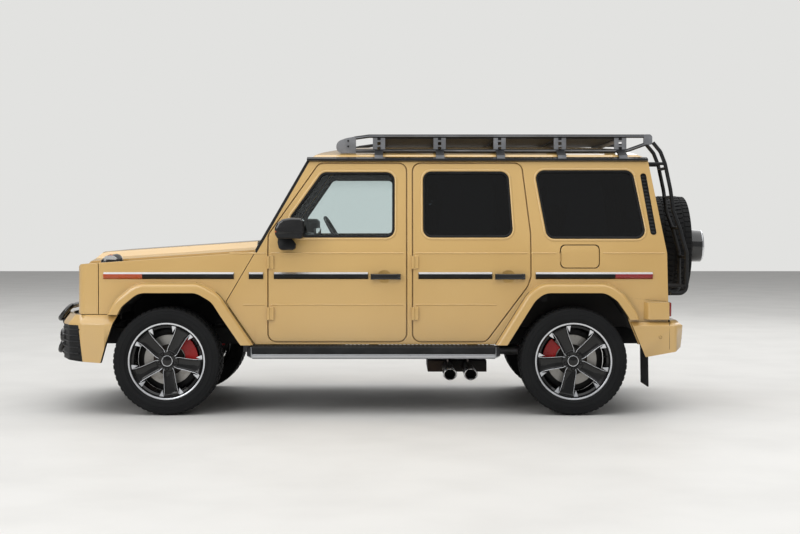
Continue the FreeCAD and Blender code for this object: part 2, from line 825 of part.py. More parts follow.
def front_fenders():
    outer = front_form(0)
    inner = front_form(fender_skin)
    span = block(fender_front_x + seam_gap, cowl_x - seam_gap, -overall_width, -bonnet_half - moving_gap,
                 sill_z, roof_z)
    shell = outer.cut(inner).common(span)
    inner_y = -bonnet_half - moving_gap
    lip = block(fender_front_x, cowl_x, inner_y - fender_skin, inner_y, front_foot_z,
                roof_z).common(inner).common(span)
    lip = lip.cut(block(nose_tip_x, 0, -overall_width, 0, 0, fender_front_z - fender_skin * 4))
    house = arch_slab(front_axle_x, house_wall, -overall_width / 2,
                      -front_house_y).common(front_form(fender_skin / 2))
    house = house.common(block(fender_front_x, cowl_x - fender_rear_gap, -overall_width, 0, front_foot_z,
                               roof_z))
    opening = arch_slab(front_axle_x, 0, -overall_width, -front_house_y - house_wall)
    blister_x = fender_front_x + fender_rear_gap
    blister_z = fender_top_z(blister_x) - fender_skin / 2
    blister_points = [(blister_x + u * blister_length, blister_z + v * blister_height) for u,
                      v in blister_shares]
    blister_plan = rectangle(blister_x, blister_x + blister_length, -blister_y - blister_width / 2,
                             -blister_y + blister_width / 2)
    blister = side_slab(blister_points, blister_round, -belt_half, -bonnet_half).common(
        plan_slab(blister_plan, blister_width * blister_plan_share, 0, roof_z))
    flare_body = flare(front_axle_x).cut(front_form(fender_skin))
    kept = arch_slab(front_axle_x, flare_width, -overall_width, 0)
    beside = side_slab(grown(seam_points, seam_gap), 0, -overall_width,
                       -belt_half + fender_skin * 2).cut(kept)
    strip = side_strip(fender_front_x + strip_inset, cowl_x - wing_strip_inset)
    bumper_room = block(nose_tip_x, bumper_back_x + seam_gap, -overall_width, 0, 0, nose_foot_z)
    left = join(shell.cut(beside), lip, house, flare_body, blister, strip).cut([opening, bumper_room])
    keep("front_fenders", left, mirrored(left))


def front_panel():
    outer = front_form(0)
    inner = front_form(fender_skin)
    span = block(nose_x, fender_front_x, -overall_width, overall_width, nose_foot_z, roof_z)
    shell = outer.cut(inner).common(span)
    under_bonnet = block(nose_x + bonnet_front_inset, cowl_x, -bonnet_half - moving_gap,
                         bonnet_half + moving_gap,
                         fender_front_z - fender_skin * 2, roof_z)
    holes = [front_slab(rectangle(-grille_half, grille_half, grille_foot_z, grille_head_z), grille_round,
                        nose_tip_x, 0)]
    for side in (-1, 1):
        holes.append(rod(Vector(nose_tip_x, side * lamp_y, lamp_z), Vector(cowl_x, side * lamp_y, lamp_z),
                         lamp_radius))
    panel = shell.cut([under_bonnet] + holes)
    bar_x = nose_x + fender_skin - overlap
    bar = block(bar_x, bar_x + support_depth, -grille_half - support_depth, grille_half + support_depth,
                nose_foot_z,
                grille_foot_z - seat_gap)
    legs = []
    for side in (-1, 1):
        y0, y1 = sorted((side * (rail_outer_y - rail_width), side * rail_outer_y))
        legs.append(block(bar_x, bar_x + support_depth, y0, y1, rail_top_z + seat_gap,
                          nose_foot_z + overlap))
    keep("front_panel", join(panel, bar, *legs))


grille_bar = 18.0
grille_bars = 4
grille_depth = 28.0
grille_rim = 20.0


def grille():
    x0 = nose_x + grille_bar / 3
    x1 = x0 + grille_depth
    outer = grown(rectangle(-grille_half, grille_half, grille_foot_z, grille_head_z), -seat_gap)
    frame = front_slab(outer, grille_round, x0, x1).cut(front_slab(grown(outer, -grille_rim), grille_round,
                                                                   x0 - overrun, x1 + overrun))
    pieces = [frame]
    pitch = (grille_head_z - grille_foot_z) / grille_bars
    for i in range(1, grille_bars):
        z = grille_foot_z + i * pitch
        pieces.append(block(x0, x1, -grille_half + grille_rim / 2, grille_half - grille_rim / 2,
                            z - grille_bar / 2, z + grille_bar / 2))
    for side in (-1, 1):
        y = side * grille_half / 2
        pieces.append(block(x0 + grille_bar / 2, x1, y - grille_bar / 2, y + grille_bar / 2,
                            grille_foot_z + grille_rim / 2,
                            grille_head_z - grille_rim / 2))
    keep("grille", join(*pieces))


def bonnet_section(x, down):
    z = fender_top_z(x)
    half = bonnet_half - down
    right = [(half, z - bonnet_thickness), (half, z + bonnet_lift_edge - down),
             (bonnet_shoulder_half, z + bonnet_lift_shoulder - down),
             (bonnet_dome_half, z + bonnet_lift - down)]
    left = [(-y, height) for y, height in reversed(right)]
    return right + left


def bonnet():
    run = Vector(slope_run, 0, fender_slope_rise)

    def mass(down):
        wire = outline(bonnet_section(nose_x, down), [0, 0, bonnet_round, bonnet_round, bonnet_round,
                                                      bonnet_round, 0, 0], at_front)
        wire.translate(Vector(nose_x, 0, -down if down else 0))
        return Part.Face(wire).extrude(run)

    front = nose_x + bonnet_front_inset + moving_gap
    top = fender_front_z + bonnet_lift
    trim = side_slab([(front, 0), (front, fender_front_z - bonnet_thickness), (front + bonnet_round, top),
                      (cowl_x - bonnet_rear_gap, roof_z), (cowl_x - bonnet_rear_gap, 0)],
                     [0, 0, bonnet_round, 0, 0],
                     -overall_width, overall_width)
    keep("bonnet", mass(0).cut(mass(bonnet_thickness)).common(trim))


def lamps():
    pieces = []
    for side in (-1, 1):
        front = Vector(nose_x - lamp_bezel, side * lamp_y, lamp_z)
        body = rod(front, front + Vector(lamp_length, 0, 0), lamp_radius - seat_gap)
        pieces.append(body.makeFillet(lamp_bezel, [edge
                                                   for edge in body.Edges if edge.BoundBox.XMax < nose_x]))
    tail_half = half_width(tail_lamp_z)
    for side in (-1, 1):
        y0, y1 = sorted((side * (rear_door_half + shut_gap * 2), side * tail_half))
        pieces.append(block(tail_x + seat_gap, tail_x + tail_lamp_depth, y0, y1, tail_lamp_z,
                            tail_lamp_z + tail_lamp_height))
    keep("lamps", *pieces)


tail_lamp_z = 695.0
tail_lamp_height = 108.0
tail_lamp_depth = 26.0

# Bumpers, bull bar, steps and flaps
bar_reach = 91.0
bumper_reach = front_overhang - bar_reach
bumper_foot_z = 402.0
bumper_side = 45.0
bumper_half = belt_half + bumper_side
bumper_wall = 60.0
bumper_shares = [(0.0, 0.55), (0.11, 0.76), (0.3, 0.92), (0.55, 0.99), (1.0, 1.0)]
bumper_shoulder_z = 655.0
bumper_shoulder_inset = 44.0
bumper_drop = 32.0
bumper_corner_run = 376.0
cross_share = 0.8
tail_shoulder_z = 636.0
bracket_wall = 14.0
tail_bumper_depth = 105.0
tail_bumper_foot_z = 411.0
tail_bumper_rise = 42.0


def shouldered(points, radii, foot_z, shoulder_z, head_z):
    # A plan outline run upwards, then drawn in to its top
    low = plan_slab(points, radii, foot_z, shoulder_z)
    rings = []
    for height, inset in ((shoulder_z, 0), (head_z, bumper_shoulder_inset)):
        wire = outline(grown(points, -inset) if inset else points, radii, at_plan)
        wire.translate(Vector(0, 0, height))
        rings.append(wire)
    return low.fuse(Part.makeLoft(rings, True, True))


def bumpers():
    front_x = front_axle_x - bumper_reach
    back_x = bumper_back_x
    right = [(front_x + u * bumper_corner_run, v * bumper_half) for u, v in bumper_shares]
    right.append((back_x + bumper_wall * 2, right[-1][1]))
    points = [(x, -y) for x, y in reversed(right)] + right
    inner = [(x + bumper_wall, y - bumper_wall) for x, y in right[:-1]]
    inner.append((back_x + bumper_wall * 3, inner[-1][1]))
    inner_points = [(x, -y) for x, y in reversed(inner)] + inner
    front_radii = [0] + [bumper_round] * (len(points) - 2) + [0]
    front = shouldered(points, front_radii, bumper_foot_z - bumper_drop, bumper_shoulder_z, bumper_head_z)
    front = front.cut(plan_slab(inner_points, 0, 0, bumper_head_z + overrun))
    skirt = [(front_x - overrun, 0), (front_x - overrun, bumper_foot_z),
             (front_x + bumper_corner_run, bumper_foot_z - bumper_drop),
             (back_x, bumper_foot_z - bumper_drop), (back_x, 0)]
    front = front.cut([arch_slab(front_axle_x, moving_gap, -overall_width, -front_house_y),
                       arch_slab(front_axle_x, moving_gap, front_house_y, overall_width),
                       side_slab(skirt, 0, -overall_width, overall_width),
                       block(back_x, 0, -overall_width, overall_width, 0, roof_z)])
    cross = block(rail_front_x - bumper_wall - seat_gap, rail_front_x - seat_gap,
                  -bumper_half * cross_share,
                  bumper_half * cross_share, rail_foot_z, rail_top_z)
    tail_end = tail_x + tail_bumper_depth
    tail_start = tail_bumper_start_x
    corner = bumper_half - bumper_wall
    tail_radii = [0, bumper_round, bumper_round, bumper_round, bumper_round, 0]
    tail_points = [(tail_start - bumper_wall, -bumper_half), (tail_end - bumper_wall, -bumper_half),
                   (tail_end, -corner),
                   (tail_end, corner), (tail_end - bumper_wall, bumper_half), (tail_start - bumper_wall,
                                                                               bumper_half)]
    tail = shouldered(tail_points, tail_radii, tail_bumper_foot_z, tail_shoulder_z, tail_bumper_head_z)
    skirt_z = tail_bumper_foot_z + tail_bumper_rise
    under = [(rear_axle_x + arch_reach, 0), (rear_axle_x + arch_reach, tail_bumper_foot_z),
             (tail_end - bumper_wall, skirt_z), (tail_end - bumper_wall / 3, skirt_z + bumper_drop),
             (tail_end, tail_shoulder_z),
             (tail_end + overrun, tail_shoulder_z), (tail_end + overrun, 0)]
    hollow = block(tail_start - overrun * 2, tail_x + shut_gap, -bumper_half + bumper_wall / 2,
                   bumper_half - bumper_wall / 2,
                   0, roof_z)
    cuts = [hollow, block(0, tail_start, -overall_width, overall_width, 0, roof_z),
            side_slab(under, 0, -overall_width, overall_width)]
    brackets = []
    for side in (-1, 1):
        eye_y = side * (rail_outer_y - rail_width / 2)
        cuts.append(block(tail_x, tail_end + overrun, eye_y - eye_thickness, eye_y + eye_thickness, 0,
                          rail_foot_z + rail_width + moving_gap))
        y0, y1 = sorted((side * (rail_outer_y - rail_width),
                         side * (rail_outer_y - rail_width + bracket_wall)))
        brackets.append(block(rail_tail_x + seat_gap, tail_x + shut_gap + overlap, y0, y1, rail_foot_z,
                              rail_top_z))
    arches = [arch_slab(rear_axle_x, moving_gap, -overall_width, -rail_outer_y),
              arch_slab(rear_axle_x, moving_gap, rail_outer_y, overall_width)]
    keep("bumpers", join(front, cross), join(tail.cut(cuts + arches), *brackets))


bar_radius = 20.0
bar_half = 380.0
bar_post_half = 300.0
bar_bend = 48.0
bar_upper_reach = 78.0
bar_lower_reach = 42.0
bar_upper_z = 650.0
bar_upper_rise = 92.0
bar_lower_z = 412.0
bar_lower_rise = 94.0
bar_post_foot_z = 372.0
bar_post_width = 12.0
bar_post_depth = 58.0
bar_post_inset = 26.0
bar_post_shares = [(0.3, 0.0), (1.0, 0.0), (1.0, 1.0), (0.8, 1.0), (0.0, 0.84), (0.0, 0.68), (0.45, 0.5),
                   (0.1, 0.2), (0.0, 0.05)]
bar_post_round = 10.0
bar_eye_share = 0.586
bar_eye_rise = 24.0


def bar_loop(z, rise, reach):
    # A closed frame of tube that leans forward to its lower cross tube
    x = nose_tip_x + bar_radius
    points = [Vector(x, -bar_half, z), Vector(x, bar_half, z), Vector(x + reach, bar_half, z + rise),
              Vector(x + reach, -bar_half, z + rise)]
    return ring_tube(points, bar_bend, bar_radius)


def bull_bar():
    pieces = [bar_loop(bar_upper_z, bar_upper_rise, bar_upper_reach), bar_loop(bar_lower_z, bar_lower_rise,
                                                                               bar_lower_reach)]
    post_x = nose_tip_x + bar_post_inset
    head_z = bar_upper_z + bar_upper_rise
    for side in (-1, 1):
        y = side * bar_post_half
        post = shares_to_side(bar_post_shares, post_x, bar_post_depth, bar_post_foot_z,
                              head_z - bar_post_foot_z)
        plate = side_slab(post, bar_post_round, y - bar_post_width / 2, y + bar_post_width / 2)
        front_end = front_axle_x - bumper_reach - seat_gap
        arm = block(post_x + bar_post_depth / 2, front_end, y - bar_post_width, y + bar_post_width,
                    rail_foot_z, rail_top_z)
        eye = Vector(post_x + bar_post_depth * bar_eye_share, y - bar_post_width,
                     bar_post_foot_z + bar_eye_rise)
        bore = rod(eye, eye + Vector(0, bar_post_width * 2, 0), eye_bore_radius)
        pieces.append(plate.fuse(arm).cut(bore))
    keep("bull_bar", join(*pieces))


step_start = 609.0
step_end = 558.0
step_tuck = 55.0
step_reach = 80.0
step_length = wheelbase - step_start - step_end
step_inner_y = belt_half - step_tuck
step_outer_y = belt_half + step_reach
step_foot_z = 437.0
step_head_z = 496.0
step_tube_radius = 23.0
step_round = 18.0
step_arm_width = 60.0
step_arm_height = 34.0
step_arm_shares = [0.08, 0.5, 0.92]


def side_steps():
    x0 = front_axle_x + step_start
    x1 = x0 + step_length
    board = front_slab(rectangle(-step_outer_y, -step_inner_y, step_foot_z, step_head_z), step_round, x0,
                       x1)
    tube_z = step_foot_z - step_tube_radius / 2
    tube_y = -step_outer_y + step_tube_radius * 1.4
    pieces = [board, rod(Vector(x0, tube_y, tube_z), Vector(x1, tube_y, tube_z), step_tube_radius)]
    for share in step_arm_shares:
        x = x0 + share * step_length
        foot = [(-rail_outer_y - seat_gap, rail_foot_z), (-rail_outer_y - seat_gap,
                                                          rail_foot_z + step_arm_height),
                (-step_inner_y - step_arm_width, step_foot_z + step_arm_height),
                (-step_inner_y - step_arm_width, step_foot_z)]
        pieces.append(front_slab(foot, 0, x - step_arm_width / 2, x + step_arm_width / 2))
    left = join(*pieces)
    keep("side_steps", left, mirrored(left))


flap_width = 300.0
flap_tuck = 25.0
flap_outer_y = belt_half - flap_tuck
flap_top_z = sill_z - seat_gap
flap_foot_z = 197.0
flap_wall = 10.0
flap_lean = 5.0
flap_behind_axle = 528.0


def mud_flaps():
    x = rear_axle_x + flap_behind_axle
    points = [(x, flap_top_z), (x + flap_wall, flap_top_z), (x + flap_wall + flap_lean, flap_foot_z),
              (x + flap_lean, flap_foot_z)]
    left = side_slab(points, 0, -flap_outer_y, -flap_outer_y + flap_width)
    keep("mud_flaps", left, mirrored(left))


# Roof rack: side frames, plates, cross slats and a rounded front fairing
rack_start = 206.0
rack_end = 151.0
rack_inset = 60.0
rack_low_drop = 58.0
rack_top_rise = 63.0
rack_length = roof_length - rack_end
rack_y = roof_edge_half - rack_inset
rack_low_z = roof_z - rack_low_drop
rack_top_z = roof_z + rack_top_rise
rack_tube = 13.0
rack_plate_width = 90.0
rack_plate_wall = 10.0
rack_plate_shares = [0.135, 0.327, 0.517, 0.708, 0.899]
rack_slat_width = 70.0
rack_slat_height = 22.0
rack_slats = 5
rack_slat_start_share = 0.135
rack_slat_run_share = 0.764
rack_planks = 9
rack_plank_width = 84.0
rack_plank_share = 0.875
rack_plank_thickness = 12.0
rack_nose_length = 143.0
rack_nose_lift = 48.0
rack_nose_z = roof_z + rack_nose_lift
rack_nose_rise = 95.0
rack_nose_round = 50.0
rack_tail_drop = 12.0
rack_tail_z = roof_z - rack_tail_drop
rack_tail_length = 62.0
rack_tail_run = 190.0
rack_bend = 60.0
rack_windows = 3
rack_window_half = 12.0
rack_bolt_slats = (1, 3)
rack_slat_lift = 22.0
rack_slat_z = roof_z + rack_slat_lift
rack_bolt_spacing_share = 0.44
rack_hole_radius = 5.0
rack_foot_wall = 12.0


def slat_x(index):
    share = rack_slat_start_share + index * rack_slat_run_share / (rack_slats - 1)
    return screen_top_x + rack_start + share * rack_length


def rack_plate(x, y, side):
    # An upright plate with a row of square windows, and its foot on the drip rail
    high_z = rack_top_z - rack_tube
    plate = block(x - rack_plate_width / 2, x + rack_plate_width / 2, y - rack_plate_wall / 2,
                  y + rack_plate_wall / 2,
                  rack_low_z, high_z)
    pitch = (high_z - rack_low_z) / rack_windows
    for index in range(rack_windows):
        z = rack_low_z + (index + 0.5) * pitch
        half = rack_window_half
        plate = plate.cut(block(x - half, x + half, y - overrun, y + overrun, z - half, z + half))
    outer = gutter_half + seat_gap + drip_width
    inner = outer - drip_width * 2
    inner_z = gutter_z + drip_height + seat_gap
    outer_z = gutter_z + drip_height / 2 + seat_gap
    leg = [(rack_y, rack_low_z), (inner, inner_z), (outer, outer_z), (outer, outer_z + rack_foot_wall * 2),
           (rack_y, rack_low_z + rack_foot_wall)]
    half = rack_plate_width / 3
    return join(plate, front_slab([(side * u, v) for u, v in leg], 0, x - half, x + half))


def roof_rack():
    pieces = []
    x0 = screen_top_x + rack_start
    x1 = x0 + rack_length
    nose_end = x0 + rack_nose_length
    high_z = rack_top_z - rack_tube
    nose = [(x0, rack_low_z - rack_tube), (nose_end, rack_low_z - rack_tube), (nose_end, rack_nose_z),
            (nose_end - rack_nose_length / 2, rack_nose_z - rack_tube), (x0, rack_nose_z - rack_tube * 3)]
    tail = [(x1 - rack_tail_length, rack_tail_z), (x1, rack_tail_z), (x1, rack_top_z),
            (x1 - rack_tail_length, rack_top_z)]
    for side in (-1, 1):
        y = side * rack_y
        high = [Vector(nose_end - rack_tube, y, rack_nose_z - rack_tube),
                Vector(nose_end + rack_nose_rise, y, high_z),
                Vector(x1 - rack_tube, y, high_z)]
        low = [Vector(nose_end - rack_tube, y, rack_low_z), Vector(x1 - rack_tail_run, y, rack_low_z),
               Vector(x1 - rack_tube * 2, y, rack_tail_z + rack_tube)]
        castings = [side_slab(nose, [rack_nose_round, 0, rack_tube, rack_nose_round, rack_nose_round],
                              y - rack_tube, y + rack_tube),
                    side_slab(tail, [rack_tube, rack_tube, rack_nose_round / 2, rack_tube],
                              y - rack_tube, y + rack_tube)]
        plates = [rack_plate(x0 + share * rack_length, y, side) for share in rack_plate_shares]
        tubes = [bent_tube(high, rack_bend, rack_tube), bent_tube(low, rack_bend, rack_tube)]
        pieces.append(join(*castings, *plates, *tubes))
    for index in range(rack_slats):
        x = slat_x(index)
        pieces.append(block(x - rack_slat_width / 2, x + rack_slat_width / 2, -rack_y, rack_y, rack_slat_z,
                            rack_slat_z + rack_slat_height))
    for index in range(rack_planks):
        y = (2 * index / (rack_planks - 1) - 1) * rack_y * rack_plank_share
        z = rack_slat_z + rack_slat_height - rack_plank_thickness
        pieces.append(block(slat_x(0), slat_x(rack_slats - 1), y - rack_plank_width / 2,
                            y + rack_plank_width / 2, z, z + rack_plank_thickness))
    rack = join(*pieces)
    for index in rack_bolt_slats:
        for side in (-1, 1):
            foot = Vector(slat_x(index), side * rack_bolt_spacing_share * rack_y, rack_slat_z - overrun)
            rack = rack.cut(rod(foot, foot + Vector(0, 0, overrun * 2), rack_hole_radius))
    keep("roof_rack", rack)


# Rear door with its glass, spare wheel and ladder
ladder_outer_run = 20.0
ladder_width = 280.0
ladder_outer_y = -rear_door_half + ladder_outer_run
ladder_inner_y = ladder_outer_y + ladder_width
spare_clearance = 36.0
spare_y = ladder_inner_y + spare_clearance + tyre_diameter / 2
spare_z = 1190.0
spare_gap = 14.0
spare_width = 271.0
spare_cap_radius = 125.0
spare_boss_radius = 80.0
tail_window_frame = 90.0
tail_window_foot_share = 0.529
tail_window_head_drop = 50.0
tail_window_half = rear_door_top_half - tail_window_frame
tail_window_foot_z = rear_door_foot_z + (rear_door_head_z - rear_door_foot_z) * tail_window_foot_share
tail_window_head_z = rear_door_head_z - tail_window_head_drop


def rear_door():
    skin_layer = cabin.cut(set_back(skin))
    box_layer = cabin.common(set_back(skin)).cut(set_back(tail_frame))
    panel = tail_opening(0).common(skin_layer)
    inside = tail_opening(-box_inset).common(box_layer)
    window = front_slab(rectangle(-tail_window_half, tail_window_half, tail_window_foot_z,
                                  tail_window_head_z),
                        window_round, 0, tail_tip_x)
    boss = rod(Vector(tail_x - tail_frame / 2, spare_y, spare_z), Vector(spare_x, spare_y, spare_z),
               spare_boss_radius)
    pieces = [panel, inside, boss]
    for z in rear_hinge_heights:
        pin = Vector(rear_hinge_x, rear_hinge_y, z)
        pieces.append(rod(pin, pin + Vector(0, 0, hinge_height), hinge_radius))
        pieces.append(block(tail_x - tail_lean - skin / 2, rear_hinge_x, rear_door_half - strip_inset,
                            rear_door_half - overlap, z, z + hinge_height))
        pieces.append(block(tail_x + overlap, rear_hinge_x, rear_door_half - strip_inset, rear_hinge_y, z,
                            z + hinge_height))
    keep("rear_door", join(*pieces).cut(window))
    glass = front_slab(grown(rectangle(-tail_window_half, tail_window_half, tail_window_foot_z,
                                       tail_window_head_z), -seat_gap),
                       window_round, 0, tail_tip_x)
    layer = set_back(glass_depth).cut(set_back(glass_depth + glass_thickness))
    keep("rear_door_glass", glass.common(layer))


rear_hinge_gap = 22.0
rear_hinge_y = rear_door_half + rear_hinge_gap
rear_hinge_x = tail_x + 13.0
rear_hinge_heights = [840.0, 1100.0]
spare_x = tail_x + spare_gap

# Wheels
bead_radius = 254.0
flange_radius = 274.0
rim_width = 242.0
flange_wall = 7.0
barrel_wall = 9.0
barrel_radius = 238.0
tyre_shoulder_share = 0.84
tyre_corner_share = 0.96
tread_drop = 6.0
hub_radius = 78.0
spoke_root_y = 28.0
spoke_face_y = 92.0
spoke_count = 5
front_spoke_angle = 10.0
rear_spoke_angle = 32.0
spoke_root_half = 40.0
spoke_tip_half = 66.0
spoke_slot_half = 20.0
disc_radius = 180.0
disc_inner_y = -27.0
disc_thickness = 22.0
spindle_radius = 30.0
spindle_length = 76.0
spindle_end_y = disc_inner_y + spindle_length + running_gap


def tyre_ring(width):
    half = width / 2
    bead = rim_width / 2 - flange_wall - seat_gap
    right = [(bead_radius + seat_gap, bead), (flange_radius + seat_gap, bead),
             (flange_radius + flange_wall, rim_width / 2 + flange_wall / 2),
             ((flange_radius + hub_z) / 2, half), 
             (hub_z - tread_drop * 2, half * tyre_corner_share),
             (hub_z - tread_drop / 2, half * tyre_shoulder_share),
             (hub_z, 0)]
    left = [(r, -y) for r, y in reversed(right[:-1])]
    return spin(right + left, [0, 0, flange_wall, half * 0.5, flange_wall * 3, half * 0.5, half,
                               half * 0.5, flange_wall * 3, half * 0.5,
                               flange_wall, 0, 0])


def rim():
    # The wheel in its own frame, with its outside towards +Y
    half = rim_width / 2
    barrel = [(bead_radius, half - flange_wall), (flange_radius, half - flange_wall),
              (flange_radius, half), (bead_radius - barrel_wall, half),
              (bead_radius - barrel_wall, half * 0.6), (barrel_radius - barrel_wall,
                                                        half * 0.4), (barrel_radius - barrel_wall, -half),
              (flange_radius, -half), (flange_radius, -half + flange_wall), (bead_radius,
                                                                             -half + flange_wall),
              (bead_radius, -half * 0.6), (barrel_radius, -half * 0.4), (barrel_radius,
                                                                         half * 0.2), (bead_radius,
                                                                                       half * 0.5)]
    pieces = [spin(barrel, 0)]
    disc_outer_y = disc_inner_y + disc_thickness
    hub_face_y = spoke_face_y - barrel_wall
    pieces.append(spin([(spindle_radius + running_gap, disc_inner_y), (disc_radius, disc_inner_y),
                        (disc_radius, disc_outer_y),
                        (hub_radius, disc_outer_y), (hub_radius, hub_face_y), (0, hub_face_y),
                        (0, spindle_end_y),
                        (spindle_radius + running_gap, spindle_end_y)], 0))
    inner_r = spindle_radius + running_gap + barrel_wall
    dish = spin([(inner_r, spoke_root_y + barrel_wall), (barrel_radius, spoke_root_y),
                 (bead_radius - barrel_wall / 2, spoke_root_y),
                 (bead_radius - barrel_wall / 2, spoke_face_y + spoke_root_y / 2), (hub_radius,
                                                                                    spoke_face_y),
                 (inner_r, spoke_face_y)], 0)
    for i in range(spoke_count):
        star = outline([(0, -spoke_root_half), (bead_radius, -spoke_tip_half),
                        (bead_radius, spoke_tip_half), (0, spoke_root_half)], 0, at_side)
        slot = outline([(hub_radius + spoke_root_half, 0), (barrel_radius - barrel_wall, -spoke_slot_half),
                        (barrel_radius - barrel_wall, spoke_slot_half)], barrel_wall / 2, at_side)
        bar = Part.Face(star).extrude(Vector(0, rim_width / 2, 0)).cut(
            moved(Part.Face(slot).extrude(Vector(0, rim_width, 0)), 0, -rim_width / 4, 0))
        bar = turned(bar, Vector(0, 0, 0), Vector(0, 1, 0), front_spoke_angle + i * 360 / spoke_count)
        pieces.append(bar.common(dish))
    return join(*pieces)


wheel_places = {"front_left": (front_axle_x, -1, 0.0), "front_right": (front_axle_x, 1, 0.0),
                "rear_left": (rear_axle_x, -1, rear_spoke_angle - front_spoke_angle),
                "rear_right": (rear_axle_x, 1, rear_spoke_angle - front_spoke_angle)}


def wheels():
    tyre = tyre_ring(tyre_width)
    right = rim()
    left = mirrored(right)
    for name, (x, side, angle) in wheel_places.items():
        wheel = turned(right if side > 0 else left, Vector(0, 0, 0), Vector(0, 1, 0), angle)
        keep("tyre_" + name, moved(tyre, x, side * wheel_y, hub_z))
        keep("rim_" + name, moved(wheel, x, side * wheel_y, hub_z))


def spare_wheel():
    # Axis along X on the rear door
    quarter = Vector(0, 0, 1)
    tyre = turned(tyre_ring(spare_width), Vector(0, 0, 0), quarter, -90)
    x = spare_x + spare_width / 2
    keep("spare_tyre", moved(tyre, x, spare_y, spare_z))
    half = rim_width / 2 - flange_wall
    disc = rod(Vector(spare_x + seat_gap, spare_y, spare_z), Vector(x + half - flange_wall, spare_y,
                                                                    spare_z),
               bead_radius)
    cap = rod(Vector(x + half - flange_wall * 2, spare_y, spare_z), Vector(tail_tip_x, spare_y, spare_z),
              spare_cap_radius)
    rim_edges = [edge for edge in cap.Edges if edge.BoundBox.XMin > tail_tip_x - flange_wall]
    cap = cap.makeFillet(flange_wall * 2, rim_edges)
    keep("spare_cover", join(disc, cap))


# Ladder on the rear door: share of depth behind the tail's top, share of height
ladder_rail_y = [ladder_outer_y, ladder_inner_y]
ladder_tube = 14.0
ladder_foot_z = 855.0
ladder_head_z = roof_z
ladder_depth = 244.0
ladder_top_x = tail_x - 75.0
ladder_line_shares = [(0.0, 1.0), (0.22, 0.94), (0.36, 0.86), (0.52, 0.69), (0.61, 0.545), (0.80, 0.43),
                      (1.0, 0.27), (1.0, 0.0),
                      (0.53, 0.0)]
ladder_rung_shares = [0.83, 0.64, 0.434, 0.24]
ladder_bend = 60.0
ladder_stud_shares = [0.86, 0.05]


def ladder_point(u, v):
    return (ladder_top_x + u * ladder_depth, ladder_foot_z + v * (ladder_head_z - ladder_foot_z))


def ladder_x_at(share):
    line = ladder_line_shares
    for (u0, v0), (u1, v1) in zip(line, line[1:]):
        if v1 <= share <= v0 and v0 > v1:
            return u1 + (u0 - u1) * (share - v1) / (v0 - v1)
    return line[0][0]


def tail_face_x(z):
    if z > belt_z:
        return tail_x - tail_lean - (z - belt_z) / (tail_top_z - belt_z) * (tail_top_run - tail_lean)
    return tail_x - tail_lean * max(0.0, (z - tail_foot_z) / (belt_z - tail_foot_z))


def ladder():
    pieces = []
    for y in ladder_rail_y:
        points = [Vector(ladder_point(u, v)[0], y, ladder_point(u, v)[1]) for u, v in ladder_line_shares]
        pieces.append(bent_tube(points, ladder_bend, ladder_tube))
        for share in ladder_stud_shares:
            x, z = ladder_point(ladder_x_at(share), share)
            foot_x = tail_face_x(z - ladder_tube * 0.8) + seat_gap
            pieces.append(rod(Vector(foot_x, y, z), Vector(x, y, z), ladder_tube * 0.8))
    for share in ladder_rung_shares:
        x, z = ladder_point(ladder_x_at(share), share)
        pieces.append(rod(Vector(x, ladder_rail_y[0], z), Vector(x, ladder_rail_y[1], z),
                          ladder_tube * 0.8))
    keep("ladder", join(*pieces))


# Fuel flap on the left quarter, on a pin between two lugs
def fuel_flap():
    layer = tunnels["outer"].cut(tunnel(flap_thickness, 0, overrun))
    flap = left_side(grown(flap_points, -moving_gap / 2), flap_round).common(layer)
    low = Vector(flap_points[0][0], -belt_half, flap_pin_z)
    pin = rod(low, low + Vector(0, 0, flap_pin_length), flap_pin_radius)
    leaf = block(low.x, low.x + moving_gap, low.y, low.y + flap_thickness / 2, flap_pin_z,
                 flap_pin_z + flap_pin_length)
    keep("fuel_flap", join(flap, pin, leaf))


# Knuckles, brakes and suspension
kingpin_tuck = 80.0
kingpin_y = wheel_y - kingpin_tuck
kingpin_radius = 22.0
kingpin_reach = 196.0
carrier_radius = 60.0
carrier_depth = 62.0
eye_height = 34.0
eye_wall = 20.0
caliper_inner = 122.0
caliper_outer = 214.0
caliper_y0 = -52.0
caliper_y1 = 20.0
caliper_sweep = 66.0
brake_gap = 6.0
front_caliper_angle = 25.0
rear_caliper_angle = 166.0
arm_tip_half = 40.0
arm_root_half = 170.0
arm_neck_run = 100.0
arm_neck_y = rail_outer_y + arm_neck_run
beam_radius = 52.0
beam_pot_radius = 150.0


def caliper(x, angle):
    # Right-hand caliper in the vehicle's frame: a horseshoe over the disc, with its bracket
    sector = [(caliper_inner, caliper_y0), (caliper_outer, caliper_y0), (caliper_outer, caliper_y1),
              (caliper_inner, caliper_y1)]
    form = turned(spin(sector, 0, caliper_sweep), Vector(0, 0, 0), Vector(0, 1, 0),
                  -caliper_sweep / 2 - angle)
    slot = spin([(0, disc_inner_y - brake_gap), (disc_radius + brake_gap, disc_inner_y - brake_gap),
                 (disc_radius + brake_gap, disc_inner_y + disc_thickness + brake_gap),
                 (0, disc_inner_y + disc_thickness + brake_gap)], 0)
    bracket = block(0, (caliper_inner + caliper_outer) / 2, caliper_y0, disc_inner_y - brake_gap,
                    -arm_tip_half, arm_tip_half)
    bracket = turned(bracket, Vector(0, 0, 0), Vector(0, 1, 0), -angle)
    return moved(join(form.cut(slot), bracket), x, wheel_y, hub_z)


def hub_carrier(x):
    face_y = wheel_y + disc_inner_y - running_gap
    carrier = rod(Vector(x, face_y - carrier_depth, hub_z), Vector(x, face_y, hub_z), carrier_radius)
    spindle = rod(Vector(x, face_y - carrier_depth / 2, hub_z), Vector(x, face_y + spindle_length, hub_z),
                  spindle_radius)
    return [carrier, spindle]


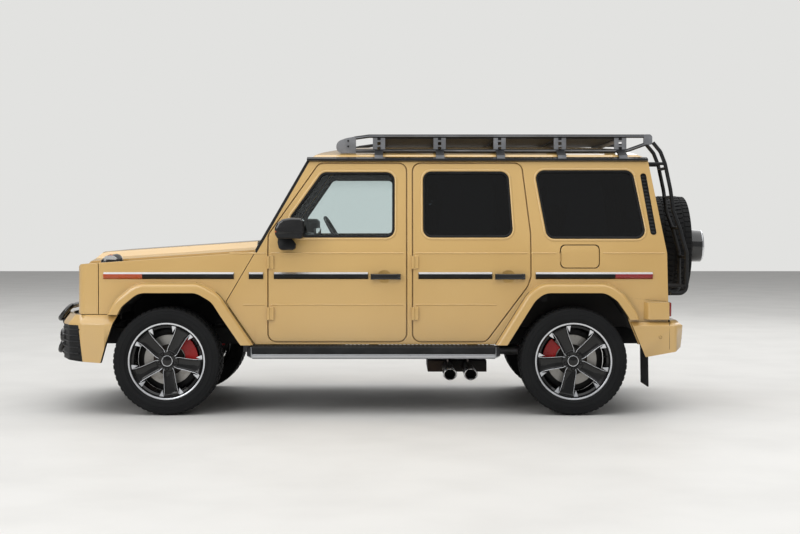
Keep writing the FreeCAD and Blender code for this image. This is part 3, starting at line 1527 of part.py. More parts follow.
def knuckles():
    low = Vector(front_axle_x, kingpin_y, hub_z - kingpin_reach)
    high = Vector(front_axle_x, kingpin_y, hub_z + kingpin_reach)
    inner = kingpin_reach - eye_height - running_gap
    post = block(front_axle_x - kingpin_radius, front_axle_x + kingpin_radius,
                 kingpin_y - kingpin_radius * 1.4,
                 kingpin_y + kingpin_radius * 1.4, hub_z - inner, hub_z + inner)
    steer_arm = block(front_axle_x, front_axle_x + caliper_inner, kingpin_y - kingpin_radius, kingpin_y,
                      hub_z - kingpin_radius * 4, hub_z - kingpin_radius * 2)
    pieces = [rod(low, high, kingpin_radius), post, steer_arm] + hub_carrier(front_axle_x) + [
        caliper(front_axle_x, front_caliper_angle)]
    right = join(*pieces)
    keep("knuckle_right", right)
    keep("knuckle_left", mirrored(right))


def wishbone(z0):
    # Right-hand arm from the rail's outer face to an eye round the kingpin
    y_root = rail_outer_y
    half = arm_root_half
    points = [(front_axle_x - half, y_root), (front_axle_x + half, y_root),
              (front_axle_x + arm_tip_half * 1.4, arm_neck_y),
              (front_axle_x + arm_tip_half * 0.8, kingpin_y), (front_axle_x - arm_tip_half * 0.8,
                                                               kingpin_y),
              (front_axle_x - arm_tip_half * 1.4, arm_neck_y)]
    arm = plan_slab(points, 0, z0, z0 + eye_height)
    window = [(front_axle_x - half * 0.6, y_root), (front_axle_x + half * 0.6, y_root),
              (front_axle_x, arm_neck_y)]
    arm = arm.cut(plan_slab(grown(window, 0), eye_wall, z0 - overrun, z0 + overrun + eye_height))
    centre = Vector(front_axle_x, kingpin_y, z0)
    eye = rod(centre, centre + Vector(0, 0, eye_height), kingpin_radius + eye_wall)
    bore = rod(centre - Vector(0, 0, overrun), centre + Vector(0, 0, overrun + eye_height),
               kingpin_radius + running_gap)
    return arm.fuse(eye).cut(bore)


def front_suspension():
    lower = wishbone(hub_z - kingpin_reach)
    upper = wishbone(hub_z + kingpin_reach - eye_height)
    gap = seat_gap
    upper = upper.cut(block(nose_tip_x, tail_tip_x, 0, rail_outer_y + gap, 0, roof_z))
    base_z = hub_z - kingpin_reach
    member = block(front_axle_x - arm_root_half, front_axle_x + arm_root_half, -rail_outer_y, rail_outer_y,
                   base_z,
                   base_z + eye_height * 2)
    legs = [block(front_axle_x - arm_root_half, front_axle_x - arm_root_half / 2,
                  side * (rail_outer_y - rail_width / 2) - rail_width / 2,
                  side * (rail_outer_y - rail_width / 2) + rail_width / 2, base_z, rail_foot_z - seat_gap)
            for side in (-1, 1)]
    rear_legs = [moved(leg, arm_root_half * 1.5, 0, 0) for leg in legs]
    keep("front_suspension", join(member, lower, mirrored(lower), *legs, *rear_legs), upper,
         mirrored(upper))


def rear_axle():
    face_y = wheel_y + disc_inner_y - running_gap
    beam = rod(Vector(rear_axle_x, -face_y + carrier_depth / 2, hub_z),
               Vector(rear_axle_x, face_y - carrier_depth / 2, hub_z), beam_radius)
    pot = Part.makeSphere(beam_pot_radius, Vector(rear_axle_x, 0, hub_z))
    ends = hub_carrier(rear_axle_x) + [caliper(rear_axle_x, rear_caliper_angle)]
    pieces = [beam, pot] + ends + [mirrored(end) for end in ends]
    for side in (-1, 1):
        y = side * (rail_outer_y - rail_width / 2)
        pieces.append(rod(Vector(rear_axle_x, y, hub_z), Vector(rear_axle_x, y, rail_foot_z - seat_gap),
                          beam_radius * 0.9))
    keep("rear_axle", join(*pieces))


# Engine as one block, gearbox and propeller shafts
engine_length = 640.0
engine_half = 290.0
engine_foot_z = 600.0
engine_head_z = 1020.0
gearbox_share = 0.2422
gearbox_length = wheelbase * gearbox_share
gearbox_half = 150.0
gearbox_foot_z = 380.0
gearbox_head_z = 588.0
shaft_radius = 34.0


def power_unit():
    x0 = front_axle_x - engine_length * 0.35
    x1 = x0 + engine_length
    engine = block(x0, x1, -engine_half, engine_half, engine_foot_z, engine_head_z)
    neck_x = cowl_x - cowl_depth - overrun
    bell = block(x1 - overrun, neck_x, -gearbox_half, gearbox_half, rail_foot_z, engine_foot_z + overrun)
    box_x = neck_x + gearbox_length
    gearbox = block(neck_x - overrun, box_x, -gearbox_half, gearbox_half, gearbox_foot_z, gearbox_head_z)
    shaft_end = rear_axle_x - beam_pot_radius - seat_gap
    shaft = rod(Vector(box_x, 0, hub_z), Vector(shaft_end, 0, hub_z), shaft_radius)
    feet = [block(x0 + engine_length / 2, x0 + engine_length / 2 + cross_member_width,
                  *sorted((side * engine_half * 0.9, side * (rail_outer_y - rail_width / 2))),
                  rail_top_z + seat_gap, rail_top_z + cross_member_width) for side in (-1, 1)]
    keep("power_unit", join(engine, bell, gearbox, shaft, *feet))


# Exhaust: silencer under the floor, with twin side outlets
tip_z = 287.0
tip_before_rear_axle = 876.0
tip_behind_axle = wheelbase - tip_before_rear_axle
hanger_radius = 8.0
tip_pitch = 148.0
tip_radius = 42.0
tip_tuck = 5.0
tip_end_y = belt_half - tip_tuck
tip_wall = 6.0
tip_depth = 90.0
silencer_half = 300.0


def exhaust():
    x = front_axle_x + tip_behind_axle
    mouths = []
    pieces = [block(x - tip_pitch, x + tip_pitch * 2, -silencer_half, silencer_half, tip_z - tip_radius,
                    tip_z + tip_radius)]
    for i in range(2):
        cx = x + i * tip_pitch
        pieces.append(rod(Vector(cx, -tip_end_y, tip_z), Vector(cx, tip_end_y, tip_z), tip_radius))
        for side in (-1, 1):
            y = side * (rail_outer_y - rail_width / 2)
            pieces.append(rod(Vector(cx, y, tip_z), Vector(cx, y, rail_foot_z - seat_gap), hanger_radius))
            mouth = Vector(cx, side * (tip_end_y - tip_depth), tip_z)
            mouths.append(rod(mouth, mouth + Vector(0, side * tip_depth * 2, 0), tip_radius - tip_wall))
    keep("exhaust", join(*pieces).cut(mouths))


# Cabin: dashboard with its column, steering wheel and seats
dash_shares = [(0.0, 0.0), (0.55, 0.0), (1.0, 0.45), (1.0, 0.78), (0.72, 1.0), (0.3, 0.95), (0.1, 0.67),
               (0.0, 0.6)]
dash_depth = 420.0
dash_foot_z = 900.0
dash_head_share = 0.181
dash_head_z = cowl_z + (screen_top_z - cowl_z) * dash_head_share
dash_tuck = 105.0
dash_half = belt_half - dash_tuck
driver_tuck = 535.0
driver_y = -belt_half + driver_tuck
wheel_rim_radius = 188.0
wheel_grip = 15.0
wheel_hub_radius = 58.0
wheel_hub_depth = 50.0
wheel_reach = 150.0
wheel_centre_x = cowl_x + dash_depth + wheel_reach
wheel_centre_z = 1240.0
column_tilt = 30.0
column_radius = 34.0
column_length = 220.0


def dashboard():
    x0 = cowl_x + firewall_thickness + seat_gap
    points = shares_to_side(dash_shares, x0, dash_depth, dash_foot_z, dash_head_z - dash_foot_z)
    body = side_slab(points, wheel_grip * 3, -dash_half, dash_half)
    axis = Vector(math.cos(math.radians(column_tilt)), 0, math.sin(math.radians(column_tilt)))
    centre = Vector(wheel_centre_x, driver_y, wheel_centre_z)
    end = centre - axis * (wheel_hub_depth + running_gap)
    column = rod(end - axis * column_length, end, column_radius)
    keep("dashboard", join(body, column))


def steering_wheel():
    axis = Vector(math.cos(math.radians(column_tilt)), 0, math.sin(math.radians(column_tilt)))
    centre = Vector(wheel_centre_x, driver_y, wheel_centre_z)
    ring = Part.makeTorus(wheel_rim_radius, wheel_grip, centre, axis)
    hub = rod(centre - axis * wheel_hub_depth, centre + axis * wheel_grip, wheel_hub_radius)
    pieces = [ring, hub]
    upward = Vector(-math.sin(math.radians(column_tilt)), 0, math.cos(math.radians(column_tilt)))
    for angle in (90, 180, 270):
        way = upward * math.cos(math.radians(angle)) + Vector(0, 1, 0) * math.sin(math.radians(angle))
        pieces.append(rod(centre, centre + way * wheel_rim_radius, wheel_grip * 0.9))
    keep("steering_wheel", join(*pieces))


seat_y = -driver_y
seat_half = 250.0
seat_cushion_z = 950.0
seat_front_share = 0.3721
seat_front_x = cowl_x + cabin_length * seat_front_share
seat_length = 500.0
seat_back_share = 0.6
seat_back_height = (roof_z - seat_cushion_z) * seat_back_share
seat_back_depth = 130.0
seat_back_lean = 110.0
seat_round = 45.0
headrest_half = 130.0
headrest_share = 0.17
headrest_height = (roof_z - seat_cushion_z) * headrest_share
bench_front_share = 0.8614
bench_front_x = cowl_x + cabin_length * bench_front_share
bench_length = 460.0
bench_tuck = 315.0
bench_half = belt_half - bench_tuck


def seat(x, y0, y1, length):
    cushion = side_slab(rectangle(x, x + length, floor_z + floor_thickness + seat_gap, seat_cushion_z),
                        seat_round, y0, y1)
    back_x = x + length
    back = [(back_x - seat_back_depth, seat_cushion_z - seat_round), (back_x, seat_cushion_z - seat_round),
            (back_x + seat_back_lean, seat_cushion_z + seat_back_height),
            (back_x + seat_back_lean - seat_back_depth, seat_cushion_z + seat_back_height)]
    return join(cushion, side_slab(back, seat_round, y0, y1))


def seats():
    pieces = []
    for side in (-1, 1):
        y = side * seat_y
        base = seat(seat_front_x, y - seat_half, y + seat_half, seat_length)
        head_x = seat_front_x + seat_length + seat_back_lean - seat_back_depth
        head_z = seat_cushion_z + seat_back_height - seat_round
        head = side_slab(rectangle(head_x, head_x + seat_back_depth, head_z, head_z + headrest_height),
                         seat_round,
                         y - headrest_half, y + headrest_half)
        pieces.append(join(base, head))
    pieces.append(seat(bench_front_x, -bench_half, bench_half, bench_length))
    keep("seats", *pieces)


# All pieces
ladder_frame()
body_tub()
shell = cabin_shell()
body_sides(shell)
roof_panel(shell)
drip_rails()
fixed_glass()
side_doors()
mirrors()
front_fenders()
front_panel()
grille()
bonnet()
lamps()
bumpers()
bull_bar()
side_steps()
mud_flaps()
roof_rack()
rear_door()
wheels()
spare_wheel()
ladder()
fuel_flap()
knuckles()
front_suspension()
rear_axle()
power_unit()
exhaust()
dashboard()
steering_wheel()
seats()
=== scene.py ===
import math
import bpy
from mathutils import Matrix, Vector
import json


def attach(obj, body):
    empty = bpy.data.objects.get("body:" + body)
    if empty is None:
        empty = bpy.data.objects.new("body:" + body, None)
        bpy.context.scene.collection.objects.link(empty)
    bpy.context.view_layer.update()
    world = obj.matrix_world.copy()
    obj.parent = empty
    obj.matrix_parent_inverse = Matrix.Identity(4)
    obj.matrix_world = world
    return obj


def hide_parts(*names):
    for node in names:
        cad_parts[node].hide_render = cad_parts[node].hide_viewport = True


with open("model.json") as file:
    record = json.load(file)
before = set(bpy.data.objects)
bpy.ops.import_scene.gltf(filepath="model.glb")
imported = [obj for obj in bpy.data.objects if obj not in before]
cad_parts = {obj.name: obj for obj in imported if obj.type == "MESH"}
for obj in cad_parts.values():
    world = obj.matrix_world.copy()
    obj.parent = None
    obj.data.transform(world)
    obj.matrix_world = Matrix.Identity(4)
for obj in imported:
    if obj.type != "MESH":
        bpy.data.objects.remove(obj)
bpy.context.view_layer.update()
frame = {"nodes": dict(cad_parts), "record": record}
cadNodes = frame["nodes"]
bodyOf = {node: body for body, held in frame["record"]["behaviour"]["bodies"].items() for node in held}
bodySides = {"left": -1, "right": 1}
print("frame loaded:", len(cadNodes), "nodes")

# The stance that many pieces share, in metres
stance = {
    "frontAxle": -1.542, "rearAxle": 1.348, "hub": 0.384, "wheelY": 0.822, "tail": 2.027, "cowl": -0.918,
    "frontDoor": (-0.821, 0.98), "rearDoor": (0.209, 0.835), "quarter": (1.044, 0.983),
    "doorFoot": 0.522, "doorHeight": 1.272, "screenOut": 0.872, "screenUp": 0.49, "screenFoot": 1.173,
}
section = [(0.5, 0.895), (0.784, 0.9), (1.151, 0.905), (1.815, 0.775)]  # height and half width of the body


def halfWidth(z):
    for (z0, y0), (z1, y1) in zip(section, section[1:]):
        if z <= z1:
            return y0 + (y1 - y0) * (z - z0) / (z1 - z0)
    return section[-1][1]


def onDoor(door, shares):
    x, length = stance[door]
    return [(x + u * length, stance["doorFoot"] + v * stance["doorHeight"]) for u, v in shares]


# Modelling helpers: picking, primitives, lofts, lathes, tubes and copies
def clearPick():
    if bpy.context.object and bpy.context.object.mode != "OBJECT":
        bpy.ops.object.mode_set(mode="OBJECT")
    bpy.ops.object.select_all(action="DESELECT")


def take(piece):
    clearPick()
    piece.select_set(True)
    bpy.context.view_layer.objects.active = piece


def edit(piece, kind="VERT", test=None):
    # edit mode with the vertices, edges or faces picked whose place and normal pass the test
    take(piece)
    mesh = piece.data
    for group in (mesh.vertices, mesh.edges, mesh.polygons):
        group.foreach_set("select", [test is None] * len(group))
    if test is not None:
        if kind == "VERT":
            for v in mesh.vertices:
                v.select = bool(test(v.co))
        elif kind == "EDGE":
            for e in mesh.edges:
                e.select = bool(test(mesh.vertices[e.vertices[0]].co, mesh.vertices[e.vertices[1]].co))
        else:
            for f in mesh.polygons:
                f.select = bool(test(f.center, f.normal))
    bpy.ops.object.mode_set(mode="EDIT")
    bpy.ops.mesh.select_mode(type=kind)


def leave():
    bpy.ops.object.mode_set(mode="OBJECT")


def insetFaces(piece, test, *steps):
    # inset the picked faces and move them, once for each step
    edit(piece, "FACE", test)
    for thickness, move in steps:
        bpy.ops.mesh.inset(thickness=thickness)
        if move:
            bpy.ops.transform.translate(value=move)
    leave()


def nudge(piece, test, move):
    edit(piece, "VERT", test)
    bpy.ops.transform.translate(value=move)
    leave()


def squeeze(piece, test, scale, centre):
    edit(piece, "VERT", test)
    bpy.ops.transform.resize(value=scale, center_override=centre)
    leave()


def named(name):
    piece = bpy.context.object
    piece.name = name
    piece.data.name = name
    bpy.ops.object.transform_apply(location=True, rotation=True, scale=True)
    return piece


def cube(name, low, high):
    clearPick()
    middle = [(a + b) / 2 for a, b in zip(low, high)]
    bpy.ops.mesh.primitive_cube_add(size=1, location=middle, scale=[abs(b - a) for a, b in zip(low, high)])
    return named(name)


def roller(name, place, radius, length, axis="Y", steps=32):
    clearPick()
    turn = {"X": (0, math.pi / 2, 0), "Y": (math.pi / 2, 0, 0), "Z": (0, 0, 0)}[axis]
    bpy.ops.mesh.primitive_cylinder_add(vertices=steps, radius=radius, depth=length, location=place,
                                        rotation=turn)
    return named(name)


def loft(name, loops, capped=False, ringed=False):
    # a circle primitive whose loop is extruded from one outline to the next
    clearPick()
    count = len(loops[0])
    bpy.ops.mesh.primitive_circle_add(vertices=count, fill_type="NOTHING")
    piece = named(name)
    for v, place in zip(piece.data.vertices, loops[0]):
        v.co = place
    for loop in loops[1:]:
        edit(piece, "VERT", lambda co: False)
        leave()
        first = len(piece.data.vertices) - count
        for v in piece.data.vertices[first:]:
            v.select = True
        for e in piece.data.edges:
            e.select = e.vertices[0] >= first and e.vertices[1] >= first
        bpy.ops.object.mode_set(mode="EDIT")
        bpy.ops.mesh.select_mode(type="EDGE")
        bpy.ops.mesh.extrude_edges_move()
        leave()
        for v, place in zip(piece.data.vertices[first + count:], loop):
            v.co = place
    if ringed:
        last = count * (len(loops) - 1)
        take(piece)
        for v in piece.data.vertices:
            v.select = v.index < count or v.index >= last
        for e in piece.data.edges:
            e.select = all(i < count for i in e.vertices) or all(i >= last for i in e.vertices)
        bpy.ops.object.mode_set(mode="EDIT")
        bpy.ops.mesh.select_mode(type="EDGE")
        bpy.ops.mesh.bridge_edge_loops()
        leave()
    if capped:
        edit(piece, "VERT")
        bpy.ops.mesh.select_all(action="DESELECT")
        bpy.ops.mesh.select_non_manifold(extend=False)
        bpy.ops.mesh.fill_holes(sides=0)
        leave()
    return outward(piece)


def outward(piece):
    edit(piece)
    bpy.ops.mesh.normals_make_consistent(inside=False)
    leave()
    return piece


def slab(name, outline, start, push):
    # a flat outline given in space by start(u, v), extruded along push
    clearPick()
    bpy.ops.mesh.primitive_circle_add(vertices=len(outline), fill_type="NGON")
    piece = named(name)
    for v, (a, b) in zip(piece.data.vertices, outline):
        v.co = start(a, b)
    edit(piece)
    bpy.ops.mesh.extrude_region_move(TRANSFORM_OT_translate={"value": push})
    leave()
    return outward(piece)


def lathe(name, profile, place=(0, 0, 0), axis="Y", steps=64):
    # a profile of radius against reach, spun about the axis through the place
    clearPick()
    bpy.ops.mesh.primitive_circle_add(vertices=len(profile), fill_type="NOTHING")
    piece = named(name)
    spinAxis = {"X": Vector((1, 0, 0)), "Y": Vector((0, 1, 0)), "Z": Vector((0, 0, 1))}[axis]
    side = Vector((0, 0, 1)) if axis != "Z" else Vector((1, 0, 0))
    centre = Vector(place)
    for v, (radius, reach) in zip(piece.data.vertices, profile):
        v.co = centre + side * radius + spinAxis * reach
    edit(piece)
    bpy.ops.mesh.spin(steps=steps, angle=math.tau, center=centre, axis=spinAxis, use_auto_merge=True,
                      dupli=False)
    bpy.ops.mesh.select_all(action="SELECT")
    bpy.ops.mesh.remove_doubles(threshold=0.00002)
    bpy.ops.mesh.normals_make_consistent(inside=False)
    leave()
    return piece


def tube(name, points, radius, bend=0.0, steps=10):
    # a round bar through the points, as a curve with its corners rounded, made a mesh
    path = [Vector(p) for p in points]
    rounded = [path[0]]
    for before, corner, after in zip(path, path[1:], path[2:]):
        back, ahead = before - corner, after - corner
        reach = min(bend, back.length * 0.45, ahead.length * 0.45)
        if reach <= 0:
            rounded.append(corner)
            continue
        a, b = corner + back.normalized() * reach, corner + ahead.normalized() * reach
        rounded += [(a.lerp(corner, t)).lerp(corner.lerp(b, t), t) for t in [i / 6 for i in range(7)]]
    rounded.append(path[-1])
    data = bpy.data.curves.new(name, "CURVE")
    data.dimensions = "3D"
    data.bevel_depth = radius
    data.bevel_resolution = max(1, steps // 4)
    data.use_fill_caps = True
    spline = data.splines.new("POLY")
    spline.points.add(len(rounded) - 1)
    for point, place in zip(spline.points, rounded):
        point.co = (*place, 1)
    piece = bpy.data.objects.new(name, data)
    bpy.context.scene.collection.objects.link(piece)
    take(piece)
    bpy.ops.object.convert(target="MESH")
    return named(name)


def soften(piece, width=0.003, segments=2, limit=35, smooth=40):
    take(piece)
    if width:
        mod = piece.modifiers.new("edge", "BEVEL")
        mod.width = width
        mod.segments = segments
        mod.limit_method = "ANGLE"
        mod.angle_limit = math.radians(limit)
        mod.use_clamp_overlap = False
        bpy.ops.object.modifier_apply(modifier="edge")
    bpy.ops.object.shade_smooth_by_angle(angle=math.radians(smooth))
    return piece


def copyOf(piece, name, move=(0, 0, 0), turn=None, mirror=False):
    copy = bpy.data.objects.new(name, piece.data.copy())
    copy.data.name = name
    bpy.context.scene.collection.objects.link(copy)
    if turn:
        angle, axis = turn
        copy.data.transform(Matrix.Rotation(angle, 4, axis))
    copy.data.transform(Matrix.Translation(move))
    if mirror:
        copy.data.transform(Matrix.Diagonal((1, -1, 1, 1)))
        copy.data.flip_normals()
    return copy


def joined(name, parts):
    clearPick()
    for part in parts:
        part.select_set(True)
    bpy.context.view_layer.objects.active = parts[0]
    bpy.ops.object.join()
    parts[0].name = name
    parts[0].data.name = name
    return parts[0]


def paint(piece, *finishes, rules=()):
    # give a piece its finishes: the first one all over, the others on the faces that pass their rules
    piece.data.materials.clear()
    for finish in finishes:
        piece.data.materials.append(looks[finish])
    for face in piece.data.polygons:
        face.material_index = 0
        for index, test in enumerate(rules, 1):
            if test(face.center, face.normal):
                face.material_index = index
                break
    return piece


def dressed(piece, *finishes, rules=()):
    # shaded smooth with its edges as they are, and painted
    return paint(soften(piece, 0.0), *finishes, rules=rules)


def hang(piece, body, node=None):
    # the body that a piece rides on and the nodes that it stands for
    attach(piece, body)
    if node:
        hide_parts(node)
    return piece


def wear(piece, body, *finishes, rules=(), node=None, slot=None):
    return hang(paint(piece, *finishes, rules=rules), body, node)


def fromNode(node, name, width=0.0, cuts=()):
    # a copy of a CAD node's mesh, merged, cut along planes where the finish changes, its edges softened
    piece = bpy.data.objects.new(name, cadNodes[node].data.copy())
    piece.data.name = name
    bpy.context.scene.collection.objects.link(piece)
    edit(piece)
    bpy.ops.mesh.remove_doubles(threshold=0.00003)
    bpy.ops.mesh.dissolve_limited(angle_limit=math.radians(0.04))
    for place, normal in cuts:
        bpy.ops.mesh.select_all(action="SELECT")
        bpy.ops.mesh.bisect(plane_co=place, plane_no=normal)
    leave()
    soften(piece, width)
    mod = piece.modifiers.new("flatter", "WEIGHTED_NORMAL")
    mod.keep_sharp = True
    bpy.ops.object.modifier_apply(modifier="flatter")
    return piece


def roundedOutline(points, radius, steps=6):
    out = []
    for i, corner in enumerate(points):
        before, after = Vector(points[i - 1]), Vector(points[(i + 1) % len(points)])
        corner = Vector(corner)
        back, ahead = before - corner, after - corner
        half = back.angle(ahead) / 2
        reach = min(radius / math.tan(half), back.length * 0.46, ahead.length * 0.46)
        a, b = corner + back.normalized() * reach, corner + ahead.normalized() * reach
        used = reach * math.tan(half)
        centre = corner + (back.normalized() + ahead.normalized()).normalized() * (used / math.sin(half))
        va, vb = a - centre, b - centre
        sweep = math.atan2(va.x * vb.y - va.y * vb.x, va.dot(vb))
        for k in range(steps + 1):
            t = sweep * k / steps
            out.append((centre.x + va.x * math.cos(t) - va.y * math.sin(t),
                        centre.y + va.x * math.sin(t) + va.y * math.cos(t)))
    return out


def grownOutline(points, distance):
    # every point moved out along its own normal
    area = sum(a[0] * b[1] - a[1] * b[0] for a, b in zip(points, points[1:] + points[:1]))
    sign = 1 if area > 0 else -1
    out = []
    for i, point in enumerate(points):
        d = Vector(points[(i + 1) % len(points)]) - Vector(points[i - 1])
        d.normalize()
        out.append((point[0] + sign * d.y * distance, point[1] - sign * d.x * distance))
    return out


# Materials: a socket that adds and multiplies, and a finish built of nodes
def tone(r, g, b, alpha=1.0):
    linear = [c / 3294.6 if c <= 10.3 else ((c / 255 + 0.055) / 1.055) ** 2.4 for c in (r, g, b)]
    return (*linear, alpha)


class Link:
    def __init__(self, finish, socket):
        self.finish, self.socket = finish, socket

    def __add__(self, other):
        return self.finish.sum("ADD", self, other)

    def __rsub__(self, other):
        return self.finish.sum("SUBTRACT", other, self)

    def __mul__(self, other):
        return self.finish.sum("MULTIPLY", self, other)

    __radd__ = __add__
    __rmul__ = __mul__

    def wave(self):
        return self.finish.sum("SINE", self, 0.0)

    def between(self, low, high):
        # 0 below low, 1 above high, eased in between
        return self.finish.node("ShaderNodeMapRange", {"interpolation_type": "SMOOTHSTEP"},
                                {"Value": self, "From Min": low, "From Max": high})


class Finish:
    def __init__(self, name, colour, rough, **fixed):
        self.material = bpy.data.materials.new(name)
        self.material.use_nodes = True
        self.tree = self.material.node_tree
        self.shader = self.tree.nodes["Principled BSDF"]
        self.shader.inputs["Base Color"].default_value = colour
        self.shader.inputs["Roughness"].default_value = rough
        for key, value in fixed.items():
            self.shader.inputs[key.replace("_", " ")].default_value = value
        self.placeLink = self.node("ShaderNodeTexCoord", out="Object")
        looks[name] = self.material

    def node(self, kind, settings=None, sockets=None, out=0):
        made = self.tree.nodes.new(kind)
        for key, value in (settings or {}).items():
            if key == "stops":
                ramp = made.color_ramp
                while len(ramp.elements) < len(value):
                    ramp.elements.new(0.5)
                for element, (place, colour) in zip(ramp.elements, value):
                    element.position, element.color = place, colour
            else:
                setattr(made, key, value)
        for key, value in (sockets or {}).items():
            if isinstance(value, Link):
                self.tree.links.new(value.socket, made.inputs[key])
            else:
                made.inputs[key].default_value = value
        return Link(self, made.outputs[out])

    def sum(self, operation, a, b):
        return self.node("ShaderNodeMath", {"operation": operation}, {0: a, 1: b})

    def place(self, scale=(1, 1, 1), move=(0, 0, 0)):
        return self.node("ShaderNodeMapping", {},
                         {"Vector": self.placeLink, "Scale": scale, "Location": move})

    def along(self, axis):
        return self.node("ShaderNodeSeparateXYZ", {}, {"Vector": self.placeLink}, out=axis)

    def noise(self, size, detail=2.0, scale=(1, 1, 1)):
        return self.node("ShaderNodeTexNoise", {},
                         {"Vector": self.place(scale), "Scale": size, "Detail": detail})

    def cells(self, size, feature="F1"):
        return self.node("ShaderNodeTexVoronoi", {"feature": feature},
                         {"Vector": self.place(), "Scale": size})

    def mix(self, amount, a, b):
        return self.node("ShaderNodeMix", {"data_type": "RGBA"}, {0: amount, 6: a, 7: b}, out=2)

    def feed(self, socket, link):
        self.tree.links.new(link.socket, self.shader.inputs[socket])

    def relief(self, height, strength, distance=0.001, edge=0.0):
        sockets = {"Height": height, "Strength": strength, "Distance": distance}
        if edge:
            sockets["Normal"] = self.node("ShaderNodeBevel", {"samples": 4}, {"Radius": edge})
        self.feed("Normal", self.node("ShaderNodeBump", {}, sockets))


looks = {}


def bodyPaint(name, light, dark):
    # sand gloss enamel under lacquer, with a little road film low on the panels
    f = Finish(name, light, 0.34, Coat_Weight=1.0, Coat_Roughness=0.035, Coat_IOR=1.5)
    drift = f.noise(0.9, 3.0)
    low = 1 - f.along("Z").between(0.42, 0.86)
    film = low * f.noise(5.5, 5.0) * 0.22
    f.feed("Base Color", f.mix(film, f.mix(drift.between(0.35, 0.7), light, dark), tone(168, 150, 122)))
    f.feed("Roughness", 0.3 + film * 0.6 + f.noise(60.0) * 0.05)
    f.relief(f.noise(260.0, 1.0), 0.03, 0.0006, 0.0035)


def moulded(name, colour, rough, grain, depth, **fixed):
    # moulded or powder-coated black with a fine grain and a faint dusting
    f = Finish(name, colour, rough, **fixed)
    f.shader.inputs["Specular IOR Level"].default_value = 0.3
    patch = f.noise(7.0, 4.0)
    lighter = tuple(min(1.0, c * 1.5 + 0.006) for c in colour[:3]) + (1.0,)
    f.feed("Base Color", f.mix(patch.between(0.4, 0.75), colour, lighter))
    f.feed("Roughness", rough - 0.06 + patch * 0.14)
    f.relief(f.noise(grain, 2.0), depth, 0.0004, 0.002)


def brightMetal(name, colour, rough, stretch=(1, 1, 1), size=400.0):
    f = Finish(name, colour, rough, Metallic=1.0)
    lines = f.noise(size, 2.0, stretch)
    dull = f.noise(9.0, 4.0)
    f.feed("Roughness", rough - 0.04 + lines * 0.1 + dull * 0.06)
    f.feed("Base Color", f.mix(dull * 0.5, colour, tuple(c * 0.75 for c in colour[:3]) + (1.0,)))
    f.relief(lines, 0.08, 0.0003, 0.0015)


def turnedMetal(name, colour, rough, centre, pitch=0.0016):
    # rings left by the lathe, round a wheel's own centre
    f = Finish(name, colour, rough, Metallic=1.0)
    flat = f.node("ShaderNodeVectorMath", {"operation": "MULTIPLY"},
                  {0: f.place(move=(-centre[0], 0, -centre[1])), 1: (1, 0, 1)})
    radius = f.node("ShaderNodeVectorMath", {"operation": "LENGTH"}, {0: flat}, out="Value")
    rings = (radius * (math.tau / pitch)).wave() * 0.5 + 0.5
    rust = f.noise(30.0, 5.0)
    f.feed("Roughness", rough + rings * 0.12)
    f.feed("Base Color", f.mix(rust.between(0.5, 0.8) * 0.4, colour, tone(96, 78, 62)))
    f.relief(rings, 0.12, 0.0004)


def pane(name, tint, haze):
    # float glass: a tint that deepens towards the top edge and a faint patchy film of dust
    f = Finish(name, tint, 0.0, Transmission_Weight=1.0, IOR=1.45)
    dusty = f.noise(14.0, 4.0).between(0.45, 0.9)
    top = f.along("Z").between(1.6, 1.76)
    f.feed("Base Color", f.mix(top * 0.35, tint, tuple(c * 0.55 for c in tint[:3]) + (1.0,)))
    f.feed("Roughness", dusty * haze)


def lens(name, colour, pitch=0.006, axis="Z"):
    # moulded lamp plastic with ribs on its inside
    f = Finish(name, colour, 0.08, Coat_Weight=1.0, Coat_Roughness=0.02, Transmission_Weight=0.35)
    ribs = (f.along(axis) * (math.tau / pitch)).wave() * 0.5 + 0.5
    f.feed("Base Color", f.mix(ribs * 0.45, colour, tuple(c * 0.45 for c in colour[:3]) + (1.0,)))
    f.relief(ribs, 0.35, 0.0008)


def tyreRubber():
    f = Finish("tyreRubber", tone(14, 15, 17), 0.72, Specular_IOR_Level=0.25)
    patch = f.noise(5.0, 5.0)
    fine = f.noise(420.0, 2.0)
    f.feed("Base Color", f.mix(patch.between(0.35, 0.75), tone(12, 13, 15), tone(22, 23, 24)))
    f.feed("Roughness", 0.6 + patch * 0.25)
    f.relief(fine, 0.25, 0.0005)


def hide(name, colour, fold):
    # grained leather: cells for the grain, and broad creases in a paler tone
    f = Finish(name, colour, 0.45)
    grain = f.cells(520.0, "DISTANCE_TO_EDGE").between(0.0, 0.35)
    crease = f.noise(16.0, 4.0)
    f.feed("Base Color", f.mix(crease.between(0.35, 0.8), colour, fold))
    f.feed("Roughness", 0.36 + grain * 0.12 + crease * 0.1)
    f.relief(grain * 0.7 + crease * 0.3, 0.35, 0.0006)


def cloth(name, colour, second, size):
    f = Finish(name, colour, 0.9)
    weaveA = (f.along("X") * (math.tau / size)).wave()
    weaveB = (f.along("Y") * (math.tau / size)).wave()
    fuzz = f.noise(300.0, 3.0)
    f.feed("Base Color", f.mix(fuzz.between(0.3, 0.7), colour, second))
    f.feed("Roughness", 0.82 + fuzz * 0.15)
    f.relief(weaveA * weaveB * 0.4 + fuzz, 0.4, 0.0008)


def castMetal(name, colour, second, rough, metal):
    f = Finish(name, colour, rough, Metallic=metal)
    skinNoise = f.noise(90.0, 5.0)
    patch = f.noise(4.0, 5.0)
    f.feed("Base Color", f.mix(patch.between(0.4, 0.72), colour, second))
    f.feed("Roughness", rough - 0.1 + skinNoise * 0.25)
    f.relief(skinNoise, 0.35, 0.0012, 0.003)


